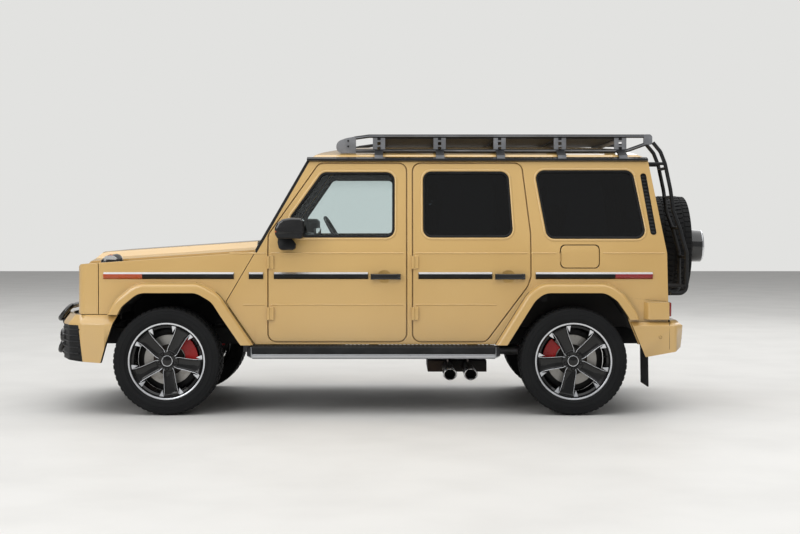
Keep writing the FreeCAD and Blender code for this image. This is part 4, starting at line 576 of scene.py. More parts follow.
def heatedSteel():
    f = Finish("exhaustSteel", tone(150, 145, 138), 0.34, Metallic=1.0)
    away = f.node("ShaderNodeMath", {"operation": "ABSOLUTE"}, {0: f.along("Y")})
    blue = 1 - away.between(0.45, 0.85)
    soot = f.noise(8.0, 4.0)
    f.feed("Base Color", f.mix(blue * 0.5 + soot * 0.2, tone(178, 172, 165), tone(96, 84, 78)))
    f.feed("Roughness", 0.26 + soot * 0.25)
    f.relief(f.noise(160.0, 3.0), 0.12, 0.0006)


def studioFloor():
    f = Finish("studioFloor", tone(214, 213, 210), 0.55)
    f.feed("Base Color", f.mix(f.noise(1.6, 4.0).between(0.3, 0.8), tone(216, 215, 212), tone(209, 208, 205)))
    f.relief(f.noise(30.0, 3.0), 0.03, 0.002)


bodyPaint("sandPaint", tone(209, 172, 107), tone(203, 165, 99))
moulded("glossBlack", tone(6, 6, 7), 0.14, grain=300.0, depth=0.03, Coat_Weight=1.0, Coat_Roughness=0.03)
moulded("satinBlack", tone(24, 25, 27), 0.46, grain=1400.0, depth=0.3)
moulded("blackPlastic", tone(17, 18, 19), 0.58, grain=800.0, depth=0.4)
moulded("stripBlack", tone(10, 11, 13), 0.3, grain=600.0, depth=0.08)
moulded("sealRubber", tone(10, 10, 11), 0.62, grain=500.0, depth=0.3)
moulded("archLiner", tone(6, 6, 7), 0.9, grain=120.0, depth=0.7)
moulded("underBlack", tone(11, 11, 12), 0.7, grain=160.0, depth=0.6)
moulded("plateGrey", tone(112, 114, 118), 0.5, grain=420.0, depth=0.2)
moulded("dashPlastic", tone(30, 30, 32), 0.62, grain=650.0, depth=0.55)
moulded("doorTrim", tone(36, 35, 36), 0.6, grain=520.0, depth=0.5)
moulded("rimBlack", tone(4, 4, 5), 0.16, grain=260.0, depth=0.04, Coat_Weight=0.35, Coat_Roughness=0.03)
brightMetal("chrome", tone(225, 227, 230), 0.07, size=60.0)
brightMetal("mirrorGlass", tone(214, 220, 226), 0.02, size=8.0)
brightMetal("machinedLip", tone(226, 228, 232), 0.24, (1, 1, 1), 500.0)
# silver for the step strips, trims and spoke bars; on the upward faces of the black side strips it is a
# painted highlight
brightMetal("silverTube", tone(196, 198, 202), 0.26, (0.02, 1, 1), 700.0)
turnedMetal("discFront", tone(168, 166, 162), 0.34, (stance["frontAxle"], stance["hub"]))
pane("clearGlass", tone(234, 243, 243), 0.02)
pane("darkGlass", tone(44, 48, 52), 0.02)
pane("lampGlass", tone(240, 244, 246), 0.02)
lens("amberLens", tone(225, 92, 34), 0.007)
lens("redLens", tone(176, 18, 24), 0.008)
lens("clearLens", tone(225, 228, 230), 0.006, "X")
lens("whiteLens", tone(232, 234, 238), 0.005, "Z")
tyreRubber()
hide("seatLeather", tone(46, 44, 43), tone(58, 55, 53))
hide("gripLeather", tone(26, 26, 27), tone(38, 37, 37))
cloth("carpet", tone(34, 33, 33), tone(48, 46, 45), 0.006)
cloth("headLining", tone(150, 147, 141), tone(164, 160, 154), 0.004)
cloth("beltWeb", tone(28, 28, 29), tone(40, 40, 41), 0.003)
castMetal("caliperRed", tone(190, 14, 14), tone(160, 10, 10), 0.28, 0.0)
castMetal("castIron", tone(52, 50, 48), tone(74, 60, 50), 0.62, 0.6)
castMetal("alloyBlock", tone(128, 128, 130), tone(96, 95, 94), 0.5, 0.8)
castMetal("sprung", tone(30, 30, 32), tone(48, 46, 44), 0.45, 0.2)
heatedSteel()
studioFloor()
print("finishes made:", len(looks))


# Body panels: copies of the CAD nodes, merged and softened, each face given its own finish

panel = {"edge": 0.003, "stripZ": 0.991, "stripHalf": 0.0255, "handleZ": 0.984, "trimDepth": 0.05,
         "surround": 0.021, "amberEnd": -1.72, "redStart": 1.649, "flareIn": 0.925,
         "handleBack": 0.038, "handleLength": 0.222, "caliperY": 0.768, "caliperReach": 0.118}


def depthIn(co):
    return halfWidth(co.z) - abs(co.y)


def screenDepth(co):
    # how far behind the plane of the windscreen surround
    return (co.x - stance["cowl"]) * stance["screenOut"] - (co.z - stance["screenFoot"]) * stance["screenUp"]


def onCaliper(axle):
    return lambda c, n: (abs(c.y) > panel["caliperY"]
                         and math.hypot(c.x - stance[axle], c.z - stance["hub"]) > panel["caliperReach"])


def onStrip(co):
    return abs(co.z - panel["stripZ"]) < panel["stripHalf"] and depthIn(co) < -0.0006


for side, sign in bodySides.items():
    piece = fromNode("body_side_" + side, "bodySide_" + side, panel["edge"], cuts=[
        ((0, sign * panel["flareIn"], 0), (0, 1, 0)), ((panel["redStart"], 0, 0), (1, 0, 0)),
        ((stance["cowl"] + panel["surround"] * stance["screenOut"], 0,
          stance["screenFoot"] - panel["surround"] * stance["screenUp"]),
          (stance["screenOut"], 0, -stance["screenUp"]))])
    wear(piece, "chassis", "sandPaint", "sealRubber", "silverTube", "stripBlack", "redLens", "doorTrim",
         "archLiner",
         node="body_side_" + side, slot="paint", rules=(
        lambda c, n: screenDepth(c) < panel["surround"] - 0.0005 and c.z > 1.185 and c.x < -0.4,
        # upward faces of the black strip in silver metal: a painted highlight where light from above catches
        # the strip
        lambda c, n: onStrip(c) and n.z > 0.4,
        lambda c, n: onStrip(c) and c.x < panel["redStart"],
        lambda c, n: onStrip(c),
        lambda c, n: depthIn(c) > panel["trimDepth"] and c.x < stance["tail"] - 0.075 and c.z > 0.62,
        lambda c, n: c.x > 0.8 and c.z < 0.875 and abs(c.y) < panel["flareIn"] and depthIn(c) > 0.002
        and n.z < 0.3
        or c.x > 0.8 and c.z < 0.875 and 0.9 < abs(c.y) < panel["flareIn"] and abs(n.y) < 0.3))
    for door in ("front", "rear"):
        piece = fromNode("door_" + door + "_" + side, "door_" + door + "_" + side, panel["edge"])
        handleEnd = sum(stance[door + "Door"]) - panel["handleBack"]
        wear(piece, "door_" + door + "_" + side, "sandPaint", "silverTube", "stripBlack", "glossBlack",
             "doorTrim",
             node="door_" + door + "_" + side, slot="paint", rules=(
                 # upward faces of the black strip in silver metal: a painted highlight where light from above
                 # catches the strip
                 lambda c, n: onStrip(c) and n.z > 0.4 and c.x < handleEnd - panel["handleLength"],
                 lambda c, n: onStrip(c) and c.x < handleEnd - panel["handleLength"],
                 lambda c, n: abs(c.z - panel["handleZ"]) < 0.024 and depthIn(c) < -0.0006
                 and handleEnd - panel["handleLength"] < c.x < handleEnd + 0.006,
                 lambda c, n: depthIn(c) > 0.048))

piece = fromNode("front_fenders", "frontFenders", panel["edge"], cuts=[
    ((0, panel["flareIn"], 0), (0, 1, 0)), ((0, -panel["flareIn"], 0), (0, 1, 0)),
    ((panel["amberEnd"], 0, 0), (1, 0, 0)),
    ((0, 0, 1.101), (0.08, 0, 1))])


def fenderTop(x):
    return 1.071 + (x + 2.188) / 1.27 * 0.088


wear(piece, "chassis", "sandPaint", "silverTube", "stripBlack", "amberLens", "glossBlack", "clearLens",
     "archLiner", node="front_fenders",
     slot="paint", rules=(
    # upward faces of the black strip in silver metal: a painted highlight where light from above catches the
    # strip
    lambda c, n: onStrip(c) and n.z > 0.4,
    lambda c, n: onStrip(c) and c.x > panel["amberEnd"],
    lambda c, n: onStrip(c),
    lambda c, n: c.z > fenderTop(c.x) + 0.0015 and c.z < fenderTop(c.x) + 0.02 and c.x < -1.85
    and abs(c.y) > 0.78,
    lambda c, n: c.z >= fenderTop(c.x) + 0.02 and c.x < -1.85,
    lambda c, n: depthIn(c) > 0.004 and c.z < fenderTop(c.x) - 0.006 or abs(c.y) < panel["flareIn"]
    and c.z < 0.875 and depthIn(c) < -0.001 and abs(n.y) < 0.3))

for node, name, width, body, second, test in [
        ("front_panel", "frontPanel", panel["edge"], "chassis", "underBlack",
         lambda c, n: c.x > -2.186 and (depthIn(c) > 0.012 and c.z < 1.04) and n.x > -0.3),
        ("bonnet", "bonnetPanel", 0.0, "bonnet", "underBlack", lambda c, n: n.z < -0.6),
        ("fuel_flap", "fuelFlap", 0.002, "fuel_flap", "sprung", lambda c, n: depthIn(c) > 0.014),
        ("roof_panel", "roofPanel", panel["edge"], "chassis", "headLining",
         lambda c, n: n.z < -0.5 and c.z < 1.93),
        ("rear_door", "rearDoor", panel["edge"], "rear_door", "doorTrim", lambda c, n: n.x < -0.7)]:
    wear(fromNode(node, name, width), body, "sandPaint", second, node=node, slot="paint", rules=(test,))

bumper = {"insertX": -2.152, "insertLow": 0.415, "insertHigh": 0.64, "intakeHalf": 0.42}
piece = fromNode("bumpers", "bumperShells", 0.0, cuts=[
    ((bumper["insertX"], 0, 0.5), (1, 0, 0.13)), ((0, 0, bumper["insertLow"]), (0, 0, 1)),
    ((0, 0, bumper["insertHigh"]), (0, 0, 1)),
    ((0, bumper["intakeHalf"], 0), (0, 1, 0)), ((0, -bumper["intakeHalf"], 0), (0, 1, 0))])
wear(piece, "chassis", "sandPaint", "blackPlastic", "underBlack", node="bumpers", slot="paint", rules=(
    lambda c, n: c.x + (c.z - 0.5) * 0.13 < bumper["insertX"] and abs(c.y) > bumper["intakeHalf"]
    and bumper["insertLow"] < c.z < bumper["insertHigh"]
    and n.x < 0.35 or c.x < -2.3 and c.z < bumper["insertLow"] + 0.05
    or c.z <= bumper["insertLow"] and c.x + (c.z - 0.5) * 0.13 < bumper["insertX"],
    lambda c, n: (c.x > -2.36 and c.x < 0 and n.x > 0.5) or (c.x > 0 and n.x < -0.5)
    or (abs(c.y) < 0.9 and n.z < -0.8)))

plain = {
    "ladder_frame": ("underBlack", 0.004), "body_tub": ("carpet", 0.0), "drip_rails": ("glossBlack", 0.0015),
    "bull_bar": ("glossBlack", 0.002), "roof_rack": ("satinBlack", 0.0), "ladder": ("satinBlack", 0.0),
    "front_suspension": ("castIron", 0.004), "rear_axle": ("castIron", 0.004),
    "power_unit": ("alloyBlock", 0.006),
    "exhaust": ("exhaustSteel", 0.002), "dashboard": ("dashPlastic", 0.006),
    "steering_wheel": ("gripLeather", 0.0),
    "mud_flaps": ("blackPlastic", 0.003), "grille": ("glossBlack", 0.002),
    "side_steps": ("blackPlastic", 0.004),
}
exhaust = {"mouths": (0.472, 0.62), "z": 0.287, "end": 0.8995, "bore": 0.0375}


def mouthReach(c):
    return min(math.hypot(c.x - x, c.z - exhaust["z"]) for x in exhaust["mouths"])


secondLooks = {
    "rear_axle": (("caliperRed",), (onCaliper("rearAxle"),)),
    "side_steps": (("silverTube",), (lambda c, n: c.z < 0.4365 and abs(c.y) > 0.9,)),
    "exhaust": (("castIron", "underBlack"), (
        lambda c, n: abs(c.y) < 0.305,
        lambda c, n: abs(c.y) > 0.8 and mouthReach(c) < exhaust["bore"])),
    "body_tub": (("underBlack",), (lambda c, n: n.z < -0.5 or c.x < -0.9 and n.x < -0.5,)),
    "roof_rack": (("plateGrey",), (lambda c, n: abs(n.y) > 0.95 and abs(c.y) > 0.6405,)),
}
for node, (finish, width) in plain.items():
    others, rules = secondLooks.get(node, ((), ()))
    wear(fromNode(node, "dressed_" + node, width), bodyOf[node], finish, *others, node=node, rules=rules)
for side in bodySides:
    piece = fromNode("knuckle_" + side, "knuckle_" + side, 0.003)
    wear(piece, "knuckle_" + side, "castIron", "caliperRed", node="knuckle_" + side,
         rules=(onCaliper("frontAxle"),))
for node, finish in {"fixed_glass": "darkGlass", "rear_door_glass": "darkGlass",
                     "glass_rear_left": "darkGlass",
                     "glass_rear_right": "darkGlass", "glass_front_left": "clearGlass",
                     "glass_front_right": "clearGlass"}.items():
    piece = fromNode(node, "pane_" + node, 0.0)
    if node == "fixed_glass":
        wear(piece, bodyOf[node], finish, "clearGlass", node=node, slot="glass",
             rules=(lambda c, n: c.x < 0,))
    else:
        wear(piece, bodyOf[node], finish, node=node, slot="glass")
print("panels dressed")


# Wheels: treaded tyre, barrel with a machined lip, five spokes with bright edges, hub and brake disc

wheel = {"spokeTip": 0.243, "facetTip": 0.2612, "face": -0.104, "slope": 0.1, "spokes": 5,
         "facetTurn": math.radians(16.5), "frontTurn": math.radians(28),
         "rearTurn": math.radians(48), "lugs": 56, "spareX": 2.1765, "spareZ": 1.19}


def wheelBarrel():
    piece = lathe("barrel", [
        (0.2736, -0.1208), (0.2736, -0.1165), (0.256, -0.112), (0.244, -0.09), (0.242, 0.085),
        (0.256, 0.112), (0.2736, 0.1165), (0.2736, 0.1208), (0.268, 0.1208), (0.25, 0.113), (0.236, 0.085),
        (0.237, -0.092), (0.248, -0.101), (0.261, -0.111), (0.263, -0.119), (0.266, -0.1208)], steps=80)
    soften(piece, 0.0, smooth=35)
    return paint(piece, "rimBlack", "machinedLip",
                 rules=(lambda c, n: math.hypot(c.x, c.z) > 0.2605 and c.y < -0.112 and n.y < 0.2,))


def spokeFront(r):
    return wheel["face"] + (wheel["spokeTip"] - r) * wheel["slope"]


def wheelSpoke():
    half = [(0.046, 0.03), (0.075, 0.041), (0.15, 0.044), (0.205, 0.049), (0.243, 0.057)]
    outline = [(-w, r) for r, w in half] + [(w, r) for r, w in reversed(half)]
    piece = slab("spoke", outline, lambda t, r: (t, spokeFront(r), r), (0, 0.03, 0))
    insetFaces(piece, lambda c, n: n.y < -0.9, (0.0035, None), (0.005, (0, 0.009, 0)), (0.012, (0, 0.004, 0)))
    front = [f.center.y - spokeFront(f.center.z) for f in piece.data.polygons]
    bright = {i for i, f in enumerate(piece.data.polygons)
              if front[i] < 0.0006 and f.normal.y < -0.9 and 0.06 < f.center.z < 0.23}
    edges = {tuple(round(v, 4) for v in piece.data.polygons[i].center) for i in bright}
    paint(piece, "rimBlack", "machinedLip", rules=(lambda c, n: tuple(round(v, 4) for v in c) in edges,))
    return soften(piece, 0.0009, 1, 30, 30)


def wheelFacet(sign):
    points = [(-0.02, 0.2612), (0.017, 0.2612), (0.0135, 0.246), (0.0015, 0.207), (-0.0085, 0.232)]
    piece = slab("facet", [(sign * t, r) for t, r in points],
                 lambda t, r: (t, -0.1085 + (wheel["facetTip"] - r) * 0.16, r), (0, 0.016, 0))
    soften(piece, 0.0012, 1)
    return paint(piece, "machinedLip")


def wheelHub():
    bowl = lathe("hubBowl", [
        (0.001, -0.078), (0.036, -0.078), (0.0365, -0.083), (0.052, -0.085), (0.074, -0.085), (0.08, -0.08),
        (0.08, -0.02), (0.06, -0.012), (0.001, -0.012)], steps=48)
    soften(bowl, 0.0015, 2)
    paint(bowl, "rimBlack")
    cap = lathe("hubCap", [
        (0.0005, -0.0905), (0.02, -0.09), (0.031, -0.088), (0.0335, -0.088), (0.035, -0.09),
        (0.0385, -0.0898), (0.0395, -0.088), (0.0395, -0.078), (0.0005, -0.078)], steps=48)
    soften(cap, 0.0, smooth=30)
    paint(cap, "rimBlack", "chrome", rules=(lambda c, n: math.hypot(c.x, c.z) > 0.0342 and c.y < -0.087,))
    parts = [bowl, cap]
    for index in range(wheel["spokes"]):
        turn = math.tau * (index + 0.5) / wheel["spokes"]
        at = (0.058 * math.sin(turn), -0.0862, 0.058 * math.cos(turn))
        seat = roller("boltSeat", at, 0.0125, 0.006, steps=20)
        insetFaces(seat, lambda c, n: n.y < -0.9, (0.003, (0, 0.0045, 0)))
        parts.append(paint(soften(seat, 0.0006, 1), "rimBlack"))
        head = roller("boltHead", (at[0], at[1] - 0.0015, at[2]), 0.0078, 0.009, steps=6)
        parts.append(paint(soften(head, 0.0008, 1), "sprung"))
    return parts


def brakeDisc():
    # the disc and its bell sit inboard of the spokes and turn with them
    ring = lathe("brakeDisc", [
        (0.045, 0.005), (0.108, 0.005), (0.112, 0.008), (0.179, 0.008), (0.1795, 0.011), (0.179, 0.014),
        (0.173, 0.014), (0.172, 0.019), (0.179, 0.019), (0.1795, 0.023), (0.179, 0.026), (0.108, 0.026),
        (0.045, 0.015)],
        steps=72)
    soften(ring, 0.0, smooth=30)
    return paint(ring, "discFront", "castIron", rules=(lambda c, n: math.hypot(c.x, c.z) < 0.11,))


def wheelRim(turn):
    parts = [wheelBarrel()] + wheelHub()
    spoke = wheelSpoke()
    facets = {sign: wheelFacet(sign) for sign in (-1, 1)}
    for index in range(wheel["spokes"]):
        angle = turn + math.tau * index / wheel["spokes"]
        parts.append(copyOf(spoke, "spokeCopy", turn=(angle, "Y")))
        for sign, facet in facets.items():
            parts.append(copyOf(facet, "facetCopy", turn=(angle + sign * wheel["facetTurn"], "Y")))
    for unused in (spoke, *facets.values()):
        bpy.data.objects.remove(unused)
    parts.append(brakeDisc())
    valve = roller("valve", (0.2255 * math.sin(turn + 0.6), -0.088, 0.2255 * math.cos(turn + 0.6)), 0.0042,
                   0.034, steps=12)
    parts.append(paint(soften(valve, 0.001, 1), "sealRubber"))
    return joined("rimMaster", parts)


def wheelTyre():
    half = [(0.256, 0.1125), (0.2746, 0.116), (0.2762, 0.1235), (0.285, 0.1288), (0.2925, 0.1318),
            (0.294, 0.1302), (0.2965, 0.1302), (0.298, 0.133), (0.315, 0.1358), (0.327, 0.1361),
            (0.3285, 0.1344), (0.331, 0.1344), (0.3325, 0.1358), (0.345, 0.1345), (0.352, 0.133),
            (0.3535, 0.1312), (0.356, 0.131), (0.358, 0.1318), (0.369, 0.129), (0.3735, 0.124),
            (0.3755, 0.112), (0.3765, 0.06), (0.377, 0.02)]
    inner = [(0.36, 0.1), (0.31, 0.124), (0.265, 0.108)]
    carcass = lathe("carcass", [(r, -w) for r, w in half] + [(r, w) for r, w in reversed(half)]
                    + [(r, w) for r, w in reversed(inner)] + [(r, -w) for r, w in inner], steps=96)
    soften(carcass, 0.0, smooth=28)
    parts = [carcass]
    pitch = math.tau / wheel["lugs"]
    for row, (low, high, top, width, skew) in enumerate([
            (-0.1275, -0.078, 0.3812, 0.029, 0.0), (-0.07, -0.008, 0.3836, 0.03, 0.5),
            (0.008, 0.07, 0.3836, 0.03, 0.0), (0.078, 0.1275, 0.3812, 0.029, 0.5)]):
        lug = cube("lug", (-width / 2, low, 0.372), (width / 2, high, top))
        squeeze(lug, lambda co: co.z < 0.374, (1.12, 1.0, 1.0), (0, (low + high) / 2, 0.372))
        outer = -0.1275 if row == 0 else 0.1275
        if row in (0, 3):
            nudge(lug, lambda co: abs(co.y - outer) < 0.001 and co.z > 0.374,
                  (0, 0.006 if row == 0 else -0.006, -0.0025))
        else:
            nudge(lug, lambda co: abs(co.y) > 0.06, (0.01, 0, 0))
        lug.data.transform(Matrix.Rotation(pitch * skew, 4, "Y"))
        edit(lug)
        bpy.ops.mesh.bevel(offset=0.0016, segments=1, affect="EDGES")
        bpy.ops.mesh.select_all(action="SELECT")
        bpy.ops.mesh.spin(steps=wheel["lugs"] - 1, angle=math.tau - pitch, center=(0, 0, 0), axis=(0, 1, 0),
                          dupli=True)
        leave()
        parts.append(lug)
    tyre = joined("tyreMaster", parts)
    return paint(tyre, "tyreRubber")


def dustShield(name, x):
    shield = lathe(name, [
        (0.06, 0.0), (0.212, 0.0), (0.222, 0.005), (0.229, 0.013), (0.2303, 0.012), (0.224, 0.002),
        (0.213, -0.003), (0.06, -0.003)], (x, 0, stance["hub"]), steps=64)
    nudge(shield, lambda co: math.hypot(co.x - x, co.z - stance["hub"]) > 0.09
          and abs(co.z - stance["hub"]) < 0.03 and co.x > x, (0, 0.004, 0))
    shield.data.transform(Matrix.Translation((0, -0.776, 0)))
    dressed(shield, "sprung")
    return shield


for end, x in (("front", stance["frontAxle"]), ("rear", stance["rearAxle"])):
    shield = dustShield(end + "DustShield", x)
    mirrorShield = copyOf(shield, end + "DustShieldRight", mirror=True)
    hang(shield, "knuckle_left" if end == "front" else "chassis")
    hang(mirrorShield, "knuckle_right" if end == "front" else "chassis")

tyreMaster = wheelTyre()
for end, axle, turn in (("front", stance["frontAxle"], wheel["frontTurn"]),
                        ("rear", stance["rearAxle"], wheel["rearTurn"])):
    rimMaster = wheelRim(turn)
    for side, sign in bodySides.items():
        place = (axle, -stance["wheelY"], stance["hub"])
        name = end + "_" + side
        rimPiece = copyOf(rimMaster, "rimDressed_" + name, move=place, mirror=side == "right")
        hang(rimPiece, "wheel_" + name, node="rim_" + name)
        tyrePiece = copyOf(tyreMaster, "tyreDressed_" + name, move=place, mirror=side == "right")
        hang(tyrePiece, "wheel_" + name, node="tyre_" + name)
    bpy.data.objects.remove(rimMaster)

spareTyre = copyOf(tyreMaster, "spareTyreDressed", turn=(math.pi / 2, "Z"))
spareTyre.data.transform(Matrix.Diagonal((0.985, 1, 1, 1)))
spareTyre.data.transform(Matrix.Translation((wheel["spareX"], 0, wheel["spareZ"])))
hang(spareTyre, "rear_door", node="spare_tyre")
bpy.data.objects.remove(tyreMaster)


def spareDish():
    x = 2.0413
    dish = lathe("spareDish", [
        (0.0005, 0.0), (0.246, 0.0), (0.253, 0.006), (0.2538, 0.232), (0.25, 0.2415), (0.238, 0.244),
        (0.233, 0.24), (0.215, 0.238), (0.2, 0.234), (0.15, 0.236), (0.132, 0.238), (0.0005, 0.238)],
        (x, 0, wheel["spareZ"]), "X", 72)
    paint(soften(dish, 0.002, 2), "glossBlack")
    cap = lathe("spareCap", [
        (0.122, 0.225), (0.124, 0.26), (0.118, 0.268), (0.118, 0.28), (0.1245, 0.288), (0.1248, 0.392),
        (0.12, 0.402), (0.112, 0.4062), (0.106, 0.4062), (0.104, 0.401), (0.09, 0.399), (0.06, 0.403),
        (0.0005, 0.404)],
        (x, 0, wheel["spareZ"]), "X", 64)
    soften(cap, 0.0008, 2, 40)
    paint(cap, "glossBlack", "chrome", rules=(
        lambda c, n: math.hypot(c.y, c.z - wheel["spareZ"]) > 0.105 and c.x > x + 0.396,))
    parts = [dish, cap]
    for index in range(6):
        turn = math.tau * index / 6
        rib = cube("spareRib", (x + 0.236, -0.006, 0.14), (x + 0.241, 0.006, 0.205))
        rib.data.transform(Matrix.Translation((0, 0, wheel["spareZ"])) @ Matrix.Rotation(turn, 4, "X"))
        parts.append(paint(soften(rib, 0.0015, 1), "glossBlack"))
    return joined("spareCoverDressed", parts)


hang(spareDish(), "rear_door", node="spare_cover")
print("wheels and spare made")


# Side trim: window seals and frames, pressed lines, pillar vents, lock buttons and wing lamps

trim = {"windowRound": 0.06, "beadRadius": 0.0062, "beltZ": 1.1515, "swageZ": 0.784, "louvres": 17,
        "ventShares": [(0.813, 0.943), (0.854, 0.943), (0.92, 0.598), (0.879, 0.598)]}
windowShares = {
    "frontDoor": [(0.14, 0.583), (0.915, 0.583), (0.915, 0.95), (0.385, 0.95), (0.157, 0.7)],
    "rearDoor": [(0.087, 0.583), (0.854, 0.583), (0.82, 0.954), (0.087, 0.954)],
    "quarter": [(0.125, 0.576), (0.845, 0.576), (0.755, 0.961), (0.04, 0.961)],
}


def onSide(x, z, depth):
    return (x, -(halfWidth(z) - depth), z)


def sideRing(name, outline, steps):
    return loft(name, [[onSide(x, z, depth) for x, z in grownOutline(outline, grow)]
                       for grow, depth in steps], ringed=True)


shellBodies = ("chassis", "chassis")


def bothSides(piece, bodies=shellBodies, node=None):
    # the left piece rides its own body, a mirrored copy rides the right one
    copy = copyOf(piece, piece.name + "_right", mirror=True)
    piece.name += "_left"
    for item, body in zip((piece, copy), bodies):
        hang(item, body, node)


for run, shares in windowShares.items():
    outline = roundedOutline(onDoor(run, shares), trim["windowRound"], 6)
    door = {"frontDoor": "door_front", "rearDoor": "door_rear"}.get(run)
    bodies = [door + "_left", door + "_right"] if door else shellBodies
    seal = sideRing("seal_" + run, outline, [
        (0.0015, 0.012), (0.0015, -0.0004), (-0.002, -0.0022), (-0.009, -0.001), (-0.015, 0.004),
        (-0.0165, 0.0095), (-0.0165, 0.0134)])
    bothSides(dressed(seal, "sealRubber"), bodies)
    pressed = sideRing("pressed_" + run, outline, [
        (0.021, 0.0012), (0.018, -0.003), (0.012, -0.006), (0.007, -0.0058), (0.003, -0.003),
        (0.0018, 0.003), (0.021, 0.004)])
    bothSides(dressed(pressed, "sandPaint"), bodies)


def pressedLine(name, x0, x1, z, bodies):
    points = [(x0, z, 0.006), (x0 + 0.014, z, 0.0), (x1 - 0.014, z, 0.0), (x1, z, 0.006)]
    bead = tube(name, [onSide(x, height, depth + 0.0018) for x, height, depth in points],
                trim["beadRadius"], 0.004, 12)
    bothSides(dressed(bead, "sandPaint"), bodies)


doorBodies = {part: ["door_" + part + "_left", "door_" + part + "_right"] for part in ("front", "rear")}
for name, x0, x1, z, bodies in [
        ("beltWing", -1.1, -0.838, trim["beltZ"] - 0.002, shellBodies),
        ("beltFront", -0.811, 0.15, trim["beltZ"], doorBodies["front"]),
        ("beltRear", 0.22, 1.034, trim["beltZ"], doorBodies["rear"]),
        ("beltQuarter", 1.052, 1.236, trim["beltZ"], shellBodies),
        ("beltTail", 1.555, 2.004, trim["beltZ"], shellBodies),
        ("swageWing", -1.01, -0.838, trim["swageZ"], shellBodies),
        ("swageFront", -0.811, 0.15, trim["swageZ"], doorBodies["front"]),
        ("swageRear", 0.22, 0.815, trim["swageZ"], doorBodies["rear"])]:
    pressedLine(name, x0, x1, z, bodies)

ventOutline = roundedOutline(onDoor("quarter", trim["ventShares"]), 0.018, 5)
rim = sideRing("ventRim", ventOutline, [
    (0.0005, 0.009), (0.0005, -0.0012), (-0.0015, -0.002), (-0.0035, -0.001), (-0.0045, 0.009)])
dressed(rim, "blackPlastic")
ventParts = [rim]
back = slab("ventBack", grownOutline(ventOutline, -0.0003), lambda x, z: onSide(x, z, 0.0096), (0, -0.003, 0))
ventParts.append(dressed(back, "underBlack"))
(topX, topZ), (footX, footZ) = [tuple((a + b) / 2 for a, b in zip(p, q)) for p, q in (
    onDoor("quarter", trim["ventShares"])[:2], onDoor("quarter", trim["ventShares"])[2:])]
louvre = cube("louvre", (-0.0165, -0.0065, -0.0042), (0.0165, 0.0, 0.0042))
nudge(louvre, lambda co: co.y < -0.003, (0, 0, -0.006))
paint(soften(louvre, 0.0009, 2), "satinBlack")
for index in range(trim["louvres"]):
    share = (index + 0.8) / (trim["louvres"] + 0.6)
    x, z = topX + (footX - topX) * share, topZ + (footZ - topZ) * share
    ventParts.append(copyOf(louvre, "louvreCopy", move=onSide(x, z, 0.0068)))
bpy.data.objects.remove(louvre)
bothSides(joined("pillarVent", ventParts))

# Lock buttons at the rear end of each door handle
for part, run in (("front", "frontDoor"), ("rear", "rearDoor")):
    x = sum(stance[run]) - panel["handleBack"] - 0.012
    button = roller("lockButton", (x, -halfWidth(panel["handleZ"]) - 0.0385, panel["handleZ"]), 0.0105,
                    0.008, steps=24)
    insetFaces(button, lambda c, n: n.y < -0.9, (0.0025, (0, 0.0018, 0)), (0.004, (0, -0.0012, 0)))
    paint(soften(button, 0.0006, 2), "glossBlack")
    bothSides(button, doorBodies[part])

# Wing lamps: a black base with a small domed lens in an amber ring
shellLow = [(-2.014, -0.871), (-1.985, -0.877), (-1.905, -0.875), (-1.872, -0.86), (-1.868, -0.82),
            (-1.9, -0.803), (-1.985, -0.801), (-2.014, -0.808)]


def lampLoop(share, height, lean=0.0):
    centreX, centreY = -1.95, -0.839
    return [(centreX + (x - centreX) * share + lean, centreY + (y - centreY) * share, fenderTop(x) + height)
            for x, y in roundedOutline(shellLow, 0.02, 3)]


shell = loft("wingLamp", [lampLoop(1.02, 0.0005), lampLoop(1.0, 0.012), lampLoop(0.9, 0.03),
                          lampLoop(0.7, 0.046, 0.002),
                          lampLoop(0.42, 0.0525, 0.004)], capped=True)
dressed(shell, "glossBlack")
eye = lathe("wingLens", [(0.0005, -0.0105), (0.012, -0.009), (0.0205, -0.004), (0.0225, 0.001),
                         (0.0225, 0.012), (0.0005, 0.012)],
            (-1.954, -0.8645, fenderTop(-1.954) + 0.027), "Y", 32)
dressed(eye, "whiteLens")
ringEye = lathe("wingLensRing", [(0.022, 0.012), (0.022, -0.0035), (0.0245, -0.005), (0.0272, -0.003),
                                 (0.0275, 0.012)],
                (-1.954, -0.8645, fenderTop(-1.954) + 0.027), "Y", 32)
dressed(ringEye, "amberLens")
bothSides(joined("wingLampSet", [shell, eye, ringEye]))
print("flanks trimmed")


# Headlamps and tail lamps in place of the plain lamp blocks

lampSet = {"y": 0.64, "z": 0.892, "front": -2.202}


